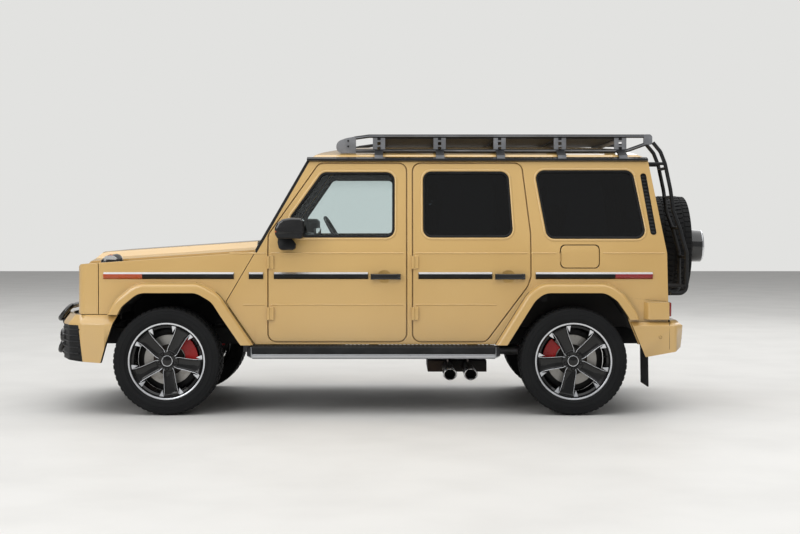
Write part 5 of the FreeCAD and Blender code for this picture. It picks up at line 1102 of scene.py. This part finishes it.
def headLamp():
    centre = (lampSet["front"], -lampSet["y"], lampSet["z"])
    bezel = lathe("bezel", [
        (0.1035, 0.094), (0.1035, 0.012), (0.101, 0.003), (0.096, 0.0005), (0.0905, 0.004), (0.0885, 0.012),
        (0.088, 0.06), (0.093, 0.094)], centre, "X", 72)
    dressed(bezel, "glossBlack", "chrome", rules=(
        lambda c, n: c.x < lampSet["front"] + 0.0125
        and math.hypot(c.y + lampSet["y"], c.z - lampSet["z"]) < 0.0955,))
    bowl = lathe("bowl", [
        (0.088, 0.03), (0.08, 0.044), (0.062, 0.062), (0.04, 0.072), (0.029, 0.074), (0.029, 0.08),
        (0.0005, 0.08), (0.0005, 0.088), (0.089, 0.088), (0.09, 0.03)], centre, "X", 72)
    paint(soften(bowl, 0.0, smooth=30), "stripBlack", "chrome", rules=(
        lambda c, n: 0.03 < math.hypot(c.y + lampSet["y"], c.z - lampSet["z"]) < 0.08 and n.x < -0.2,))
    light = lathe("lightRing", [
        (0.07, 0.034), (0.072, 0.026), (0.077, 0.024), (0.0815, 0.026), (0.083, 0.034), (0.08, 0.04),
        (0.073, 0.04)],
        centre, "X", 72)
    edit(light, "VERT", lambda co: co.z < lampSet["z"] - 0.052)
    bpy.ops.mesh.delete(type="VERT")
    leave()
    paint(outward(soften(light, 0.0)), "whiteLens")
    eye = lathe("projector", [
        (0.0005, 0.036), (0.012, 0.0375), (0.022, 0.043), (0.0285, 0.053), (0.03, 0.056), (0.033, 0.056),
        (0.034, 0.062), (0.03, 0.078), (0.0005, 0.078)], centre, "X", 48)
    dressed(eye, "clearLens", "chrome", rules=(
        lambda c, n: math.hypot(c.y + lampSet["y"], c.z - lampSet["z"]) > 0.029,))
    fins = []
    fin = cube("fin", (lampSet["front"] + 0.05, -0.003, -0.084), (lampSet["front"] + 0.074, 0.003, -0.05))
    soften(fin, 0.001, 1)
    for index in range(8):
        turn = math.radians(-56 + index * 16)
        fins.append(paint(copyOf(fin, "finCopy", turn=(turn, "X"), move=(0, -lampSet["y"], lampSet["z"])),
                          "satinBlack"))
    bpy.data.objects.remove(fin)
    cover = lathe("lampCover", [
        (0.0005, 0.002), (0.03, 0.003), (0.06, 0.0058), (0.082, 0.0105), (0.0884, 0.015), (0.0884, 0.018),
        (0.081, 0.0135), (0.059, 0.0088), (0.03, 0.006), (0.0005, 0.005)], centre, "X", 72)
    dressed(cover, "lampGlass")
    return joined("headLamp", [bezel, bowl, light, eye] + fins), cover


def tailLamp():
    low, high = (2.0272, -0.8975, 0.6955), (2.0525, -0.7365, 0.8025)
    shell = cube("tailLampShell", low, (2.0375, high[1], high[2]))
    soften(shell, 0.003, 2)
    paint(shell, "glossBlack")
    parts = [shell]
    for name, y0, y1, z0, z1, finish in (
            ("stopLamp", -0.893, -0.8405, 0.7, 0.798, "redLens"),
            ("turnLamp", -0.838, -0.7905, 0.7505, 0.798, "amberLens"),
            ("backLamp", -0.838, -0.7905, 0.7, 0.748, "whiteLens"),
            ("fogLamp", -0.788, -0.741, 0.7, 0.798, "redLens")):
        block = cube(name, (2.033, y0, z0), (2.049, y1, z1))
        insetFaces(block, lambda c, n: n.x > 0.9, (0.007, (0.0034, 0, 0)))
        parts.append(paint(soften(block, 0.0022, 3, 20, 50), finish))
    return joined("tailLamp", parts)


lampPiece, coverPiece = headLamp()
bothSides(lampPiece, node="lamps")
bothSides(coverPiece)
bothSides(tailLamp())
print("lamps made")


# Exhaust mouths, parking sensors and the joint line of the rear bumper
def mouthRing(x, z, sign):
    ring = lathe("mouthRing", [
        (0.0365, -0.12), (0.0365, -0.003), (0.0385, 0.0), (0.0415, 0.0005), (0.044, -0.003),
        (0.0445, -0.01), (0.0435, -0.15), (0.0425, -0.15)], (0, 0, 0), "Y", 48)
    soften(ring, 0.0)
    edit(ring)
    bpy.ops.transform.resize(value=(1.14, 1, 0.93), center_override=(0, 0, 0))
    leave()
    paint(ring, "chrome", "underBlack", rules=(lambda c, n: math.hypot(c.x, c.z) < 0.039 and c.y < -0.008,))
    copy = copyOf(ring, "exhaustMouth", move=(x, sign * exhaust["end"], z),
                  turn=(math.pi, "Z") if sign < 0 else None)
    bpy.data.objects.remove(ring)
    return copy


for x in exhaust["mouths"]:
    for sign in (-1, 1):
        hang(mouthRing(x, exhaust["z"], sign), "chassis")

disc = lathe("sensorDisc", [(0.0005, 0.0024), (0.0085, 0.0024), (0.0095, 0.001), (0.01, 0.001),
                            (0.0108, 0.003), (0.0128, 0.0026), (0.0135, -0.001), (0.0005, -0.001)],
                            (0, 0, 0), "X", 28)
dressed(disc, "sandPaint", "stripBlack", rules=(lambda c, n: 0.0094 < math.hypot(c.y, c.z) < 0.0104,))
for y in (-0.62, -0.24, 0.24, 0.62):
    hang(copyOf(disc, "parkSensor", move=(2.1315, y, 0.56)), "chassis")
for sign in (-1, 1):
    hang(copyOf(disc, "sideSensor", turn=(sign * math.pi / 2, "Z"), move=(1.962, sign * 0.9495, 0.556)),
         "chassis")
bpy.data.objects.remove(disc)

joint = tube("bumperJoint", [(2.027, -0.92, 0.708), (2.027, -0.9485, 0.64), (2.027, -0.9492, 0.47)], 0.0016,
             0.02, 8)
bothSides(dressed(joint, "sealRubber"))


# Door mirrors: a rounded two-part housing with its glass, on a foot that follows the door

mirror = {"inner": -0.932, "outer": -1.088, "split": 1.322}


def mirrorSet():
    side = [(-0.565, 1.256), (-0.561, 1.3), (-0.5625, 1.382), (-0.58, 1.401), (-0.65, 1.403),
            (-0.708, 1.393), (-0.744, 1.368), (-0.763, 1.33), (-0.76, 1.285), (-0.743, 1.256)]
    housing = slab("mirrorHousing", roundedOutline(side, 0.02, 4), lambda x, z: (x, mirror["inner"], z),
                   (0, mirror["outer"] - mirror["inner"], 0))
    edit(housing)
    bpy.ops.mesh.bisect(plane_co=(0, 0, mirror["split"]), plane_no=(-0.06, 0, 1))
    leave()
    insetFaces(housing, lambda c, n: n.y < -0.9, (0.022, (0, -0.004, 0)))
    insetFaces(housing, lambda c, n: n.y > 0.9, (0.02, None))
    soften(housing, 0.014, 4, 40, 50)
    insetFaces(housing, lambda c, n: n.x > 0.95 and c.x > -0.575, (0.006, (-0.012, 0, 0)))
    paint(housing, "glossBlack", "satinBlack", "mirrorGlass", rules=(
        lambda c, n: c.z < mirror["split"] + (c.x + 0.66) * 0.06 and n.x < 0.9,
        lambda c, n: n.x > 0.95 and -0.592 < c.x < -0.571))
    seam = tube("mirrorSeam", [(-0.566, mirror["outer"] + 0.01, mirror["split"] + 0.005),
                               (-0.585, mirror["outer"] - 0.0018, mirror["split"] + 0.004),
                               (-0.735, mirror["outer"] - 0.0012, mirror["split"] - 0.005),
                               (-0.7615, mirror["outer"] + 0.022, mirror["split"] - 0.006),
                               (-0.7625, mirror["inner"] - 0.022, mirror["split"] - 0.006)], 0.0016, 0.02, 8)
    dressed(seam, "chrome")
    lamp = cube("mirrorLamp", (-0.76, -1.085, 1.3), (-0.645, -1.0895, 1.312))
    paint(soften(lamp, 0.0015, 2), "amberLens")
    footSide = [(-0.748, 1.262), (-0.752, 1.225), (-0.742, 1.185), (-0.73, 1.1725), (-0.642, 1.1725),
                (-0.627, 1.185), (-0.623, 1.212), (-0.64, 1.238), (-0.665, 1.262)]
    foot = slab("mirrorFoot", roundedOutline(footSide, 0.01, 3), lambda x, z: onSide(x, z, -0.0006),
                (0, -0.07, 0))
    nudge(foot, lambda co: co.y < -0.955, (0, -0.012, 0.004))
    paint(soften(foot, 0.006, 3), "satinBlack")
    neck = slab("mirrorNeck", roundedOutline([(-0.735, 1.25), (-0.735, 1.3), (-0.64, 1.3), (-0.64, 1.25)],
                                             0.015, 3),
                lambda x, z: (x, -0.945, z), (0, 0.04, 0))
    paint(soften(neck, 0.003, 2), "satinBlack")
    return joined("mirror", [housing, seam, lamp, foot, neck])


mirrorPiece = mirrorSet()
mirrorRight = copyOf(mirrorPiece, "mirrorRight", mirror=True)
hang(mirrorPiece, bodyOf["mirror_left"], node="mirror_left")
hang(mirrorRight, bodyOf["mirror_right"], node="mirror_right")


# Windscreen wipers, following the slope of the screen
def onScreen(y, share, proud):
    # share up the screen, from the cowl to the header
    return (stance["cowl"] + 0.363 * share - stance["screenOut"] * proud, y,
            stance["screenFoot"] + 0.646 * share + stance["screenUp"] * proud)


low = 0.055
for pivotY, tipY in ((-0.1, -0.62), (0.56, 0.04)):
    arm = tube("wiperArm", [onScreen(pivotY, 0.035, 0.014),
                            onScreen((pivotY + tipY) / 2, low + 0.028, 0.022),
                            onScreen(tipY + 0.19, low + 0.052, 0.012)],
               0.0045, 0.05, 8)
    blade = tube("wiperBlade", [onScreen(pivotY - 0.06, low + 0.046, 0.003),
                                onScreen(tipY, low + 0.06, 0.003)], 0.0045, 0.0, 6)
    spine = tube("wiperSpine", [onScreen(pivotY - 0.1, low + 0.05, 0.009),
                                onScreen(tipY + 0.04, low + 0.062, 0.009)], 0.0032, 0.0, 6)
    hub = roller("wiperHub", onScreen(pivotY, 0.03, 0.01), 0.014, 0.022, "Z", 20)
    wiper = joined("wiper", [dressed(p, "satinBlack") for p in (arm, blade, spine, hub)])
    hang(wiper, "chassis")


# Grille: a plain dark backing and upright blades with bright edges

grilleSet = {"x": -2.15, "half": 0.446, "foot": 0.764, "head": 1.014, "blades": 13}
meshParts = []
backing = cube("grilleBacking", (grilleSet["x"] + 0.006, -grilleSet["half"], grilleSet["foot"]),
               (grilleSet["x"] + 0.01, grilleSet["half"], grilleSet["head"]))
meshParts.append(dressed(backing, "underBlack"))
blade = cube("blade", (-2.18, -0.0045, grilleSet["foot"]), (-2.156, 0.0045, grilleSet["head"]))
squeeze(blade, lambda co: co.x < -2.17, (1, 0.45, 1), (-2.18, 0, 0.89))
paint(soften(blade, 0.0012, 2), "satinBlack", "chrome", rules=(lambda c, n: n.x < -0.5,))
for index in range(grilleSet["blades"]):
    y = -grilleSet["half"] + (index + 0.5) * 2 * grilleSet["half"] / grilleSet["blades"]
    meshParts.append(copyOf(blade, "bladeCopy", move=(0, y, 0)))
bpy.data.objects.remove(blade)
hang(joined("grilleBlades", meshParts), "chassis")

# Bumper inserts: curved ribs and a round fog lamp each side

bumperPlan = [(-2.3605, 0.445), (-2.3605, 0.5225), (-2.32, 0.7235), (-2.248, 0.8755), (-2.164, 0.937)]
insertParts = []
for z in (0.44, 0.482, 0.524, 0.566, 0.608):
    rib = tube("bumperRib", [(x, -y, z) for x, y in bumperPlan], 0.006, 0.1, 8)
    insertParts.append(dressed(rib, "satinBlack"))
fogRing = lathe("fogRing", [(0.03, 0.03), (0.03, 0.004), (0.034, 0.0), (0.044, 0.0), (0.049, 0.006),
                            (0.049, 0.04)],
                (-2.364, -0.6, 0.545), "X", 40)
insertParts.append(dressed(fogRing, "glossBlack"))
fogLens = lathe("fogLens", [(0.0005, 0.0045), (0.016, 0.0055), (0.026, 0.009), (0.031, 0.014),
                            (0.031, 0.03), (0.0005, 0.03)],
                (-2.364, -0.6, 0.545), "X", 40)
insertParts.append(dressed(fogLens, "clearLens"))
bothSides(joined("bumperInsert", insertParts))

# A black deck closes the opening between the bumper and the foot of the nose

deckPlan = [(-2.303, -0.466), (-2.261, -0.667), (-2.19, -0.819), (-2.14, -0.85), (-2.14, 0.85),
            (-2.19, 0.819), (-2.261, 0.667), (-2.303, 0.466)]
deck = slab("bumperDeck", deckPlan, lambda x, y: (x, y, 0.688), (0, 0, 0.008))
deckParts = [dressed(deck, "blackPlastic")]
for index in range(-6, 7):
    rib = cube("deckRib", (-2.292, index * 0.07 - 0.004, 0.6955), (-2.196, index * 0.07 + 0.004, 0.701))
    deckParts.append(paint(soften(rib, 0.0015, 1), "blackPlastic"))
hang(joined("bumperDeck", deckParts), "chassis")


# The bonnet's leading edge is closed by a lip that turns down behind the nose
def bonnetFront(z, back):
    return -2.158 + (z - 1.045) * 0.882 + back


lipPoints = [(-0.7, 1.0485), (0.7, 1.0485), (0.7, 1.062), (0.632, 1.082), (0.548, 1.124), (-0.548, 1.124),
             (-0.632, 1.082), (-0.7, 1.062)]
lip = slab("bonnetLip", lipPoints, lambda y, z: (bonnetFront(z, 0.007), y, z), (0.006, 0, 0))
insetFaces(lip, lambda c, n: n.x < -0.5, (0.012, (0.003, 0, -0.0015)))
hang(paint(soften(lip, 0.002, 2), "sandPaint"), "bonnet")

# Roof rack bolts, on the side plates and the nose castings

rack = {"start": -0.349, "length": 2.305, "plates": [0.135, 0.327, 0.517, 0.708, 0.899], "y": 0.64}
bolt = roller("rackBolt", (0, 0, 0), 0.0075, 0.006, "Y", 6)
insetFaces(bolt, lambda c, n: n.y < -0.9, (0.002, (0, 0.0015, 0)))
paint(soften(bolt, 0.0008, 1), "stripBlack")
bolts = []
for share in rack["plates"]:
    x = rack["start"] + share * rack["length"]
    for z in (1.903, 1.99):
        bolts.append(copyOf(bolt, "boltCopy", move=(x, -rack["y"] - 0.0075, z)))
for z in (1.925, 1.965):
    bolts.append(copyOf(bolt, "boltCopy", move=(-0.262, -rack["y"] - 0.0155, z)))
bpy.data.objects.remove(bolt)
bothSides(joined("rackBolts", bolts))

# Tail door: a pull handle in its recess

pull = tube("tailPull", [(2.028, -0.56, 0.985), (2.0475, -0.56, 0.985), (2.0475, -0.44, 0.985),
                         (2.028, -0.44, 0.985)], 0.009, 0.012, 10)
plate = cube("tailPullPlate", (2.0262, -0.6, 0.95), (2.032, -0.41, 1.02))
insetFaces(plate, lambda c, n: n.x > 0.9, (0.01, (-0.0025, 0, 0)))
tailSet = [dressed(pull, "glossBlack"), paint(soften(plate, 0.003, 2), "glossBlack")]
hang(joined("tailHandle", tailSet), "rear_door")
print("tail fitted")

# Steps: ribbed treads and end castings

tread = cube("tread", (-0.006, -0.972, 0.4955), (0.006, -0.865, 0.499))
paint(soften(tread, 0.0012, 1), "sealRubber")
treads = [copyOf(tread, "treadCopy", move=(-0.9 + index * 0.0295, 0, 0)) for index in range(57)]
bpy.data.objects.remove(tread)
for x, sign in ((-0.9335, -1), (0.7905, 1)):
    cap = cube("stepEnd", (min(x, x + sign * 0.036), -0.98, 0.408), (max(x, x + sign * 0.036), -0.86, 0.493))
    squeeze(cap, lambda co: abs(co.x - x) > 0.02, (1, 0.7, 0.72), (x, -0.92, 0.462))
    treads.append(paint(soften(cap, 0.006, 3), "satinBlack", "silverTube", rules=(lambda c, n: c.z < 0.452,)))
bothSides(joined("stepTrim", treads))
print("fittings made")


# Cabin: stuffed seats, dashboard fittings, console, belts and door cards

seatPlan = {"y": 0.37, "half": 0.236, "voxel": 0.006, "cap": 0.014, "lean": math.atan2(0.11, 0.6),
            "pressure": 4.0, "lastFrame": 20,
            "channelWidth": 0.01, "channelDepth": 0.009, "hinge": (0.296, 0, 0.905),
            "benchHinge": (1.216, 0, 0.905)}


def stuffed(name, low, high, channels=()):
    # a rounded block, remeshed, blown up as cloth, its swelling capped, then its sewn channels pressed in
    piece = cube(name, low, high)
    soften(piece, min(b - a for a, b in zip(low, high)) * 0.34, 4)
    take(piece)
    mod = piece.modifiers.new("fine", "REMESH")
    mod.mode = "VOXEL"
    mod.voxel_size = seatPlan["voxel"]
    bpy.ops.object.modifier_apply(modifier="fine")
    start = [v.co.copy() for v in piece.data.vertices]
    mod = piece.modifiers.new("blown", "CLOTH")
    mod.settings.use_pressure = True
    mod.settings.uniform_pressure_force = seatPlan["pressure"]
    mod.settings.quality = 3
    mod.settings.effector_weights.gravity = 0.0
    mod.point_cache.frame_start = 1
    mod.point_cache.frame_end = seatPlan["lastFrame"]
    for frameNumber in range(1, seatPlan["lastFrame"] + 1):
        bpy.context.scene.frame_set(frameNumber)
    bpy.ops.object.modifier_apply(modifier="blown")
    for v, old in zip(piece.data.vertices, start):
        swell = v.co - old
        if swell.length > seatPlan["cap"]:
            v.co = old + swell.normalized() * seatPlan["cap"]
    bpy.context.scene.frame_set(1)
    for v in piece.data.vertices:
        press = max((math.exp(-((v.co.y - spot) / seatPlan["channelWidth"]) ** 2) for spot in channels),
                    default=0.0)
        v.co -= v.normal * seatPlan["channelDepth"] * press
    mod = piece.modifiers.new("calm", "CORRECTIVE_SMOOTH")
    mod.iterations = 3
    mod.factor = 0.4
    mod.use_only_smooth = True
    bpy.ops.object.modifier_apply(modifier="calm")
    soften(piece, 0.0, smooth=60)
    paint(piece, "seatLeather")
    return piece


def tilted(piece, place):
    piece.data.transform(Matrix.Translation(place) @ Matrix.Rotation(seatPlan["lean"], 4, "Y"))
    return piece


y, half = seatPlan["y"], seatPlan["half"]
cushion = stuffed("frontCushion", (-0.172, -y - half + 0.014, 0.852), (0.3, -y + half - 0.014, 0.938),
                  (-y - 0.12, -y - 0.04, -y + 0.04, -y + 0.12))
back = tilted(stuffed("frontBack", (-0.098, -y - half + 0.016, 0.035), (-0.02, -y + half - 0.016, 0.6),
                      (-y - 0.12, -y - 0.04, -y + 0.04, -y + 0.12)), seatPlan["hinge"])
head = tilted(stuffed("headrest", (-0.098, -y - 0.112, 0.632), (-0.022, -y + 0.112, 0.752)),
              seatPlan["hinge"])
bench = stuffed("benchCushion", (0.788, -0.574, 0.848), (1.212, -0.004, 0.932), (-0.4, -0.2))
benchBack = tilted(stuffed("benchBack", (-0.096, -0.572, 0.04), (-0.018, -0.004, 0.59), (-0.4, -0.2)),
                   seatPlan["benchHinge"])
for piece in (cushion, back, head, bench, benchBack):
    copy = copyOf(piece, piece.name + "Right", mirror=True)
    hang(copy, "chassis")
    hang(piece, "chassis", node="seats" if piece is cushion else None)
print("seats stuffed")

frames = []
for sign in (-1, 1):
    box = cube("seatBox", (-0.186, sign * y - half, 0.6235), (0.306, sign * y + half, 0.846))
    squeeze(box, lambda co: co.z < 0.65, (0.86, 0.84, 1), (0.06, sign * y, 0.62))
    frames.append(paint(soften(box, 0.01, 2), "doorTrim"))
    shell = cube("backShell", (-0.022, sign * y - half, 0.02), (0.02, sign * y + half, 0.64))
    squeeze(shell, lambda co: co.z > 0.5, (1, 0.86, 1), (0, sign * y, 0.6))
    frames.append(tilted(paint(soften(shell, 0.012, 3), "dashPlastic"), seatPlan["hinge"]))
    for dy in (-0.05, 0.05):
        post = roller("headPost", (-0.052, sign * y + dy, 0.62), 0.006, 0.075, "Z", 12)
        frames.append(tilted(dressed(post, "chrome"), seatPlan["hinge"]))
    rail = cube("recliner", (0.226, sign * (y - half) - 0.004, 0.87), (0.29, sign * (y - half) + 0.01, 0.935))
    frames.append(paint(soften(rail, 0.008, 2), "dashPlastic"))
benchBox = cube("benchBox", (0.778, -0.584, 0.6235), (1.226, 0.584, 0.844))
frames.append(paint(soften(benchBox, 0.01, 2), "doorTrim"))
benchShell = cube("benchShell", (-0.018, -0.584, 0.02), (0.022, 0.584, 0.61))
frames.append(tilted(paint(soften(benchShell, 0.01, 2), "carpet"), seatPlan["benchHinge"]))
hang(joined("seatFrames", frames), "chassis")

console = []
box = cube("console", (-0.47, -0.105, 0.6235), (0.26, 0.105, 0.83))
nudge(box, lambda co: co.x < -0.4 and co.z > 0.8, (0.05, 0, 0.06))
console.append(paint(soften(box, 0.012, 3), "dashPlastic"))
rest = cube("armRest", (-0.02, -0.095, 0.832), (0.25, 0.095, 0.88))
console.append(paint(soften(rest, 0.016, 4), "seatLeather"))
panelTop = cube("consolePanel", (-0.4, -0.078, 0.844), (-0.06, 0.078, 0.852))
console.append(paint(soften(panelTop, 0.003, 2), "glossBlack"))
for x in (-0.3, -0.21):
    cup = lathe("cupRing", [(0.034, 0.0), (0.034, 0.006), (0.037, 0.009), (0.041, 0.008), (0.042, 0.0)],
                (x, 0.034, 0.8515), "Z", 32)
    console.append(dressed(cup, "chrome"))
knob = cube("selector", (-0.15, -0.055, 0.852), (-0.085, -0.02, 0.892))
squeeze(knob, lambda co: co.z > 0.88, (0.7, 0.8, 1), (-0.13, -0.037, 0.88))
console.append(paint(soften(knob, 0.006, 3), "chrome"))
hang(joined("centreConsole", console), "chassis")

dash = []
screen = cube("screenHousing", (-0.52, -0.56, 1.205), (-0.5, 0.13, 1.33))
insetFaces(screen, lambda c, n: n.x > 0.9, (0.008, (-0.003, 0, 0)))
dash.append(paint(soften(screen, 0.004, 2), "satinBlack", "glossBlack",
                  rules=(lambda c, n: n.x > 0.9 and c.x < -0.502,)))
for vy in (-0.7, -0.055, 0.13, 0.7):
    ring = lathe("ventRing", [(0.03, 0.0), (0.03, 0.012), (0.034, 0.018), (0.041, 0.016), (0.043, 0.0)],
                 (-0.484, vy, 1.135), "X", 36)
    dash.append(dressed(ring, "chrome"))
    for fz in (-0.016, 0.0, 0.016):
        fin = cube("ventFin", (-0.482, vy - 0.029, 1.135 + fz - 0.0015),
                   (-0.472, vy + 0.029, 1.135 + fz + 0.0015))
        dash.append(paint(soften(fin, 0.0008, 1), "satinBlack"))
strip = cube("dashStrip", (-0.488, -0.6, 1.06), (-0.48, 0.66, 1.078))
dash.append(paint(soften(strip, 0.003, 2), "silverTube"))
hang(joined("dashFittings", dash), "chassis")

# Steering wheel pad with plain switch pods, stalks behind it and two pedals

wheelAt = Vector((-0.348, -0.37, 1.24))


def onWheel(piece):
    piece.data.transform(Matrix.Translation(wheelAt) @ Matrix.Rotation(-math.pi / 6, 4, "Y"))
    return piece


wheelSet = []
pad = cube("wheelPad", (-0.03, -0.078, -0.066), (0.016, 0.078, 0.052))
squeeze(pad, lambda co: co.z < 0, (1, 0.72, 1), (0, 0, -0.066))
wheelSet.append(onWheel(paint(soften(pad, 0.014, 4), "gripLeather")))
for side in (-1, 1):
    pod = cube("switchPod", (-0.006, min(side * 0.082, side * 0.128), -0.018),
               (0.012, max(side * 0.082, side * 0.128), 0.022))
    wheelSet.append(onWheel(paint(soften(pod, 0.006, 3), "glossBlack")))
    spoke = cube("wheelSpokeBar", (-0.01, min(side * 0.07, side * 0.182), -0.014),
                 (0.002, max(side * 0.07, side * 0.182), 0.016))
    wheelSet.append(onWheel(paint(soften(spoke, 0.004, 2), "silverTube")))
hang(joined("wheelFittings", wheelSet), "steering_wheel")
stalks = []
for side in (-1, 1):
    stalk = tube("stalk", [(-0.072, side * 0.02, 0.0), (-0.062, side * 0.1, 0.01),
                           (-0.055, side * 0.165, 0.026)], 0.0062, 0.03, 10)
    stalks.append(onWheel(dressed(stalk, "dashPlastic")))
shroud = lathe("columnShroud", [(0.0005, 0.0), (0.048, 0.0), (0.056, 0.012), (0.056, 0.12), (0.0005, 0.12)],
               (-0.196, 0, 0), "X", 32)
stalks.append(onWheel(dressed(shroud, "dashPlastic")))
for vy, half, low in ((-0.4, 0.034, 0.7), (-0.285, 0.022, 0.675)):
    footPad = cube("pedal", (-0.742, vy - half, low), (-0.728, vy + half, low + 0.075))
    stem = cube("pedalStem", (-0.752, vy - 0.006, low + 0.03), (-0.741, vy + 0.006, 0.93))
    stalks.append(paint(soften(footPad, 0.004, 2), "sealRubber"))
    stalks.append(paint(soften(stem, 0.002, 1), "castIron"))
hang(joined("driverControls", stalks), "chassis")


# Door cards: a trim panel, an armrest with its pull, a speaker and a pocket; belts on the pillars
def doorCard(door, start, end, restFrom, restTo):
    # one card on the left door, copied across
    plane = -0.8325
    parts = []
    card = slab("card", [(start, 0.6), (end, 0.6), (end, 1.12), (start, 1.12)],
                lambda x, z: (x, plane - 0.003, z), (0, 0.011, 0))
    insetFaces(card, lambda c, n: n.y > 0.9, (0.018, (0, -0.003, 0)))
    parts.append(paint(soften(card, 0.003, 2), "doorTrim"))
    rest = cube("doorRest", (restFrom, plane + 0.002, 0.885), (restTo, plane + 0.072, 0.945))
    nudge(rest, lambda co: co.x < restFrom + 0.1 and co.z < 0.9, (0.1, 0, 0))
    parts.append(paint(soften(rest, 0.012, 4), "seatLeather"))
    z = 1.04
    grip = tube("doorGrip", [(restFrom + 0.02, plane + 0.004, z), (restFrom + 0.02, plane + 0.032, z),
                             (restFrom + 0.15, plane + 0.032, z), (restFrom + 0.15, plane + 0.004, z)],
                             0.0068, 0.012, 10)
    parts.append(dressed(grip, "chrome"))
    speaker = lathe("speaker", [(0.0005, 0.012), (0.02, 0.012), (0.058, 0.008), (0.064, 0.012),
                                (0.072, 0.012), (0.076, 0.0)],
                    (restFrom - 0.03, plane + 0.001, 0.74), "Y", 40)
    parts.append(dressed(speaker, "dashPlastic"))
    pocket = cube("doorPocket", (restFrom + 0.09, plane + 0.002, 0.625), (restTo, plane + 0.042, 0.72))
    insetFaces(pocket, lambda c, n: n.z > 0.9, (0.008, (0, 0, -0.06)))
    parts.append(paint(soften(pocket, 0.003, 2), "dashPlastic"))
    bothSides(joined("doorCard_" + door, parts), ["door_" + door + "_left", "door_" + door + "_right"])


doorCard("front", -0.775, 0.095, -0.3, 0.08)
doorCard("rear", 0.275, 0.8, 0.39, 0.79)

belt = []
beltPlan = {"low": 0.8, "high": 1.6, "inset": 0.086, "half": 0.023}
low, high, half = beltPlan["low"], beltPlan["high"], beltPlan["half"]
top, foot = -(halfWidth(high) - beltPlan["inset"]), -(halfWidth(low) - beltPlan["inset"])
for x in (0.215, 1.15):
    strap = slab("beltStrap", [(x - half, low), (x + half, low), (x + half, high), (x - half, high)],
                 lambda px, pz: (px, foot + (top - foot) * (pz - low) / (high - low), pz), (0, 0.0018, 0))
    belt.append(dressed(strap, "beltWeb"))
    guide = cube("beltGuide", (x - 0.034, top - 0.012, high - 0.018), (x + 0.034, top + 0.01, high + 0.024))
    belt.append(paint(soften(guide, 0.007, 3), "dashPlastic"))
bothSides(joined("belts", belt))
print("cabin fitted")


# Camera, floor and light
def lamp(name, place, aim, size, power, colour=(1, 1, 1)):
    data = bpy.data.lights.new(name, "AREA")
    data.shape = "RECTANGLE"
    data.size, data.size_y = size
    data.energy = power
    data.color = colour
    item = bpy.data.objects.new(name, data)
    item.location = place
    item.rotation_euler = (Vector(aim) - Vector(place)).to_track_quat("-Z", "Y").to_euler()
    bpy.context.scene.collection.objects.link(item)


studio = {"floor": 60.0, "fill": 0.38}
clearPick()
bpy.ops.mesh.primitive_grid_add(x_subdivisions=12, y_subdivisions=12, size=studio["floor"])
floorPiece = named("studioFloorSheet")
floorPiece.data.materials.append(looks["studioFloor"])
lamp("overhead", (0.0, -1.0, 11.0), (0, 0, 0.6), (26.0, 26.0), 2800)
lamp("keySide", (-6.5, -9.0, 5.0), (-0.5, -0.5, 0.9), (5.0, 4.0), 230)
lamp("farSide", (5.0, 8.0, 5.5), (0.3, 0, 0.9), (6.0, 4.0), 120)

world = bpy.data.worlds.new("studioWorld")
bpy.context.scene.world = world
world.use_nodes = True
tree = world.node_tree
tree.nodes.clear()
path, seen, fill, straight, choose, end = [tree.nodes.new("ShaderNode" + kind) for kind in (
    "LightPath", "Background", "Background", "Math", "MixShader", "OutputWorld")]
straight.operation = "MAXIMUM"
for node, colour, strength in ((seen, tone(226, 226, 224), 1.0), (fill, (1, 1, 1, 1), studio["fill"])):
    node.inputs["Color"].default_value = colour
    node.inputs["Strength"].default_value = strength
for source, target in (
        (path.outputs["Is Camera Ray"], straight.inputs[0]),
        (path.outputs["Is Transmission Ray"], straight.inputs[1]),
        (straight.outputs[0], choose.inputs[0]), (fill.outputs[0], choose.inputs[1]),
        (seen.outputs[0], choose.inputs[2]), (choose.outputs[0], end.inputs["Surface"])):
    tree.links.new(source, target)

view = {"place": (0.1155, -11.26, 1.366), "lens": 65.44, "shift": -0.055}
cameraData = bpy.data.cameras.new("photoView")
cameraData.lens = view["lens"]
cameraData.sensor_width = 36.0
cameraData.shift_y = view["shift"]
cameraItem = bpy.data.objects.new("photoView", cameraData)
cameraItem.location = view["place"]
cameraItem.rotation_euler = (math.pi / 2, 0, 0)
bpy.context.scene.collection.objects.link(cameraItem)
bpy.context.scene.camera = cameraItem
bpy.context.scene.view_settings.view_transform = "Standard"
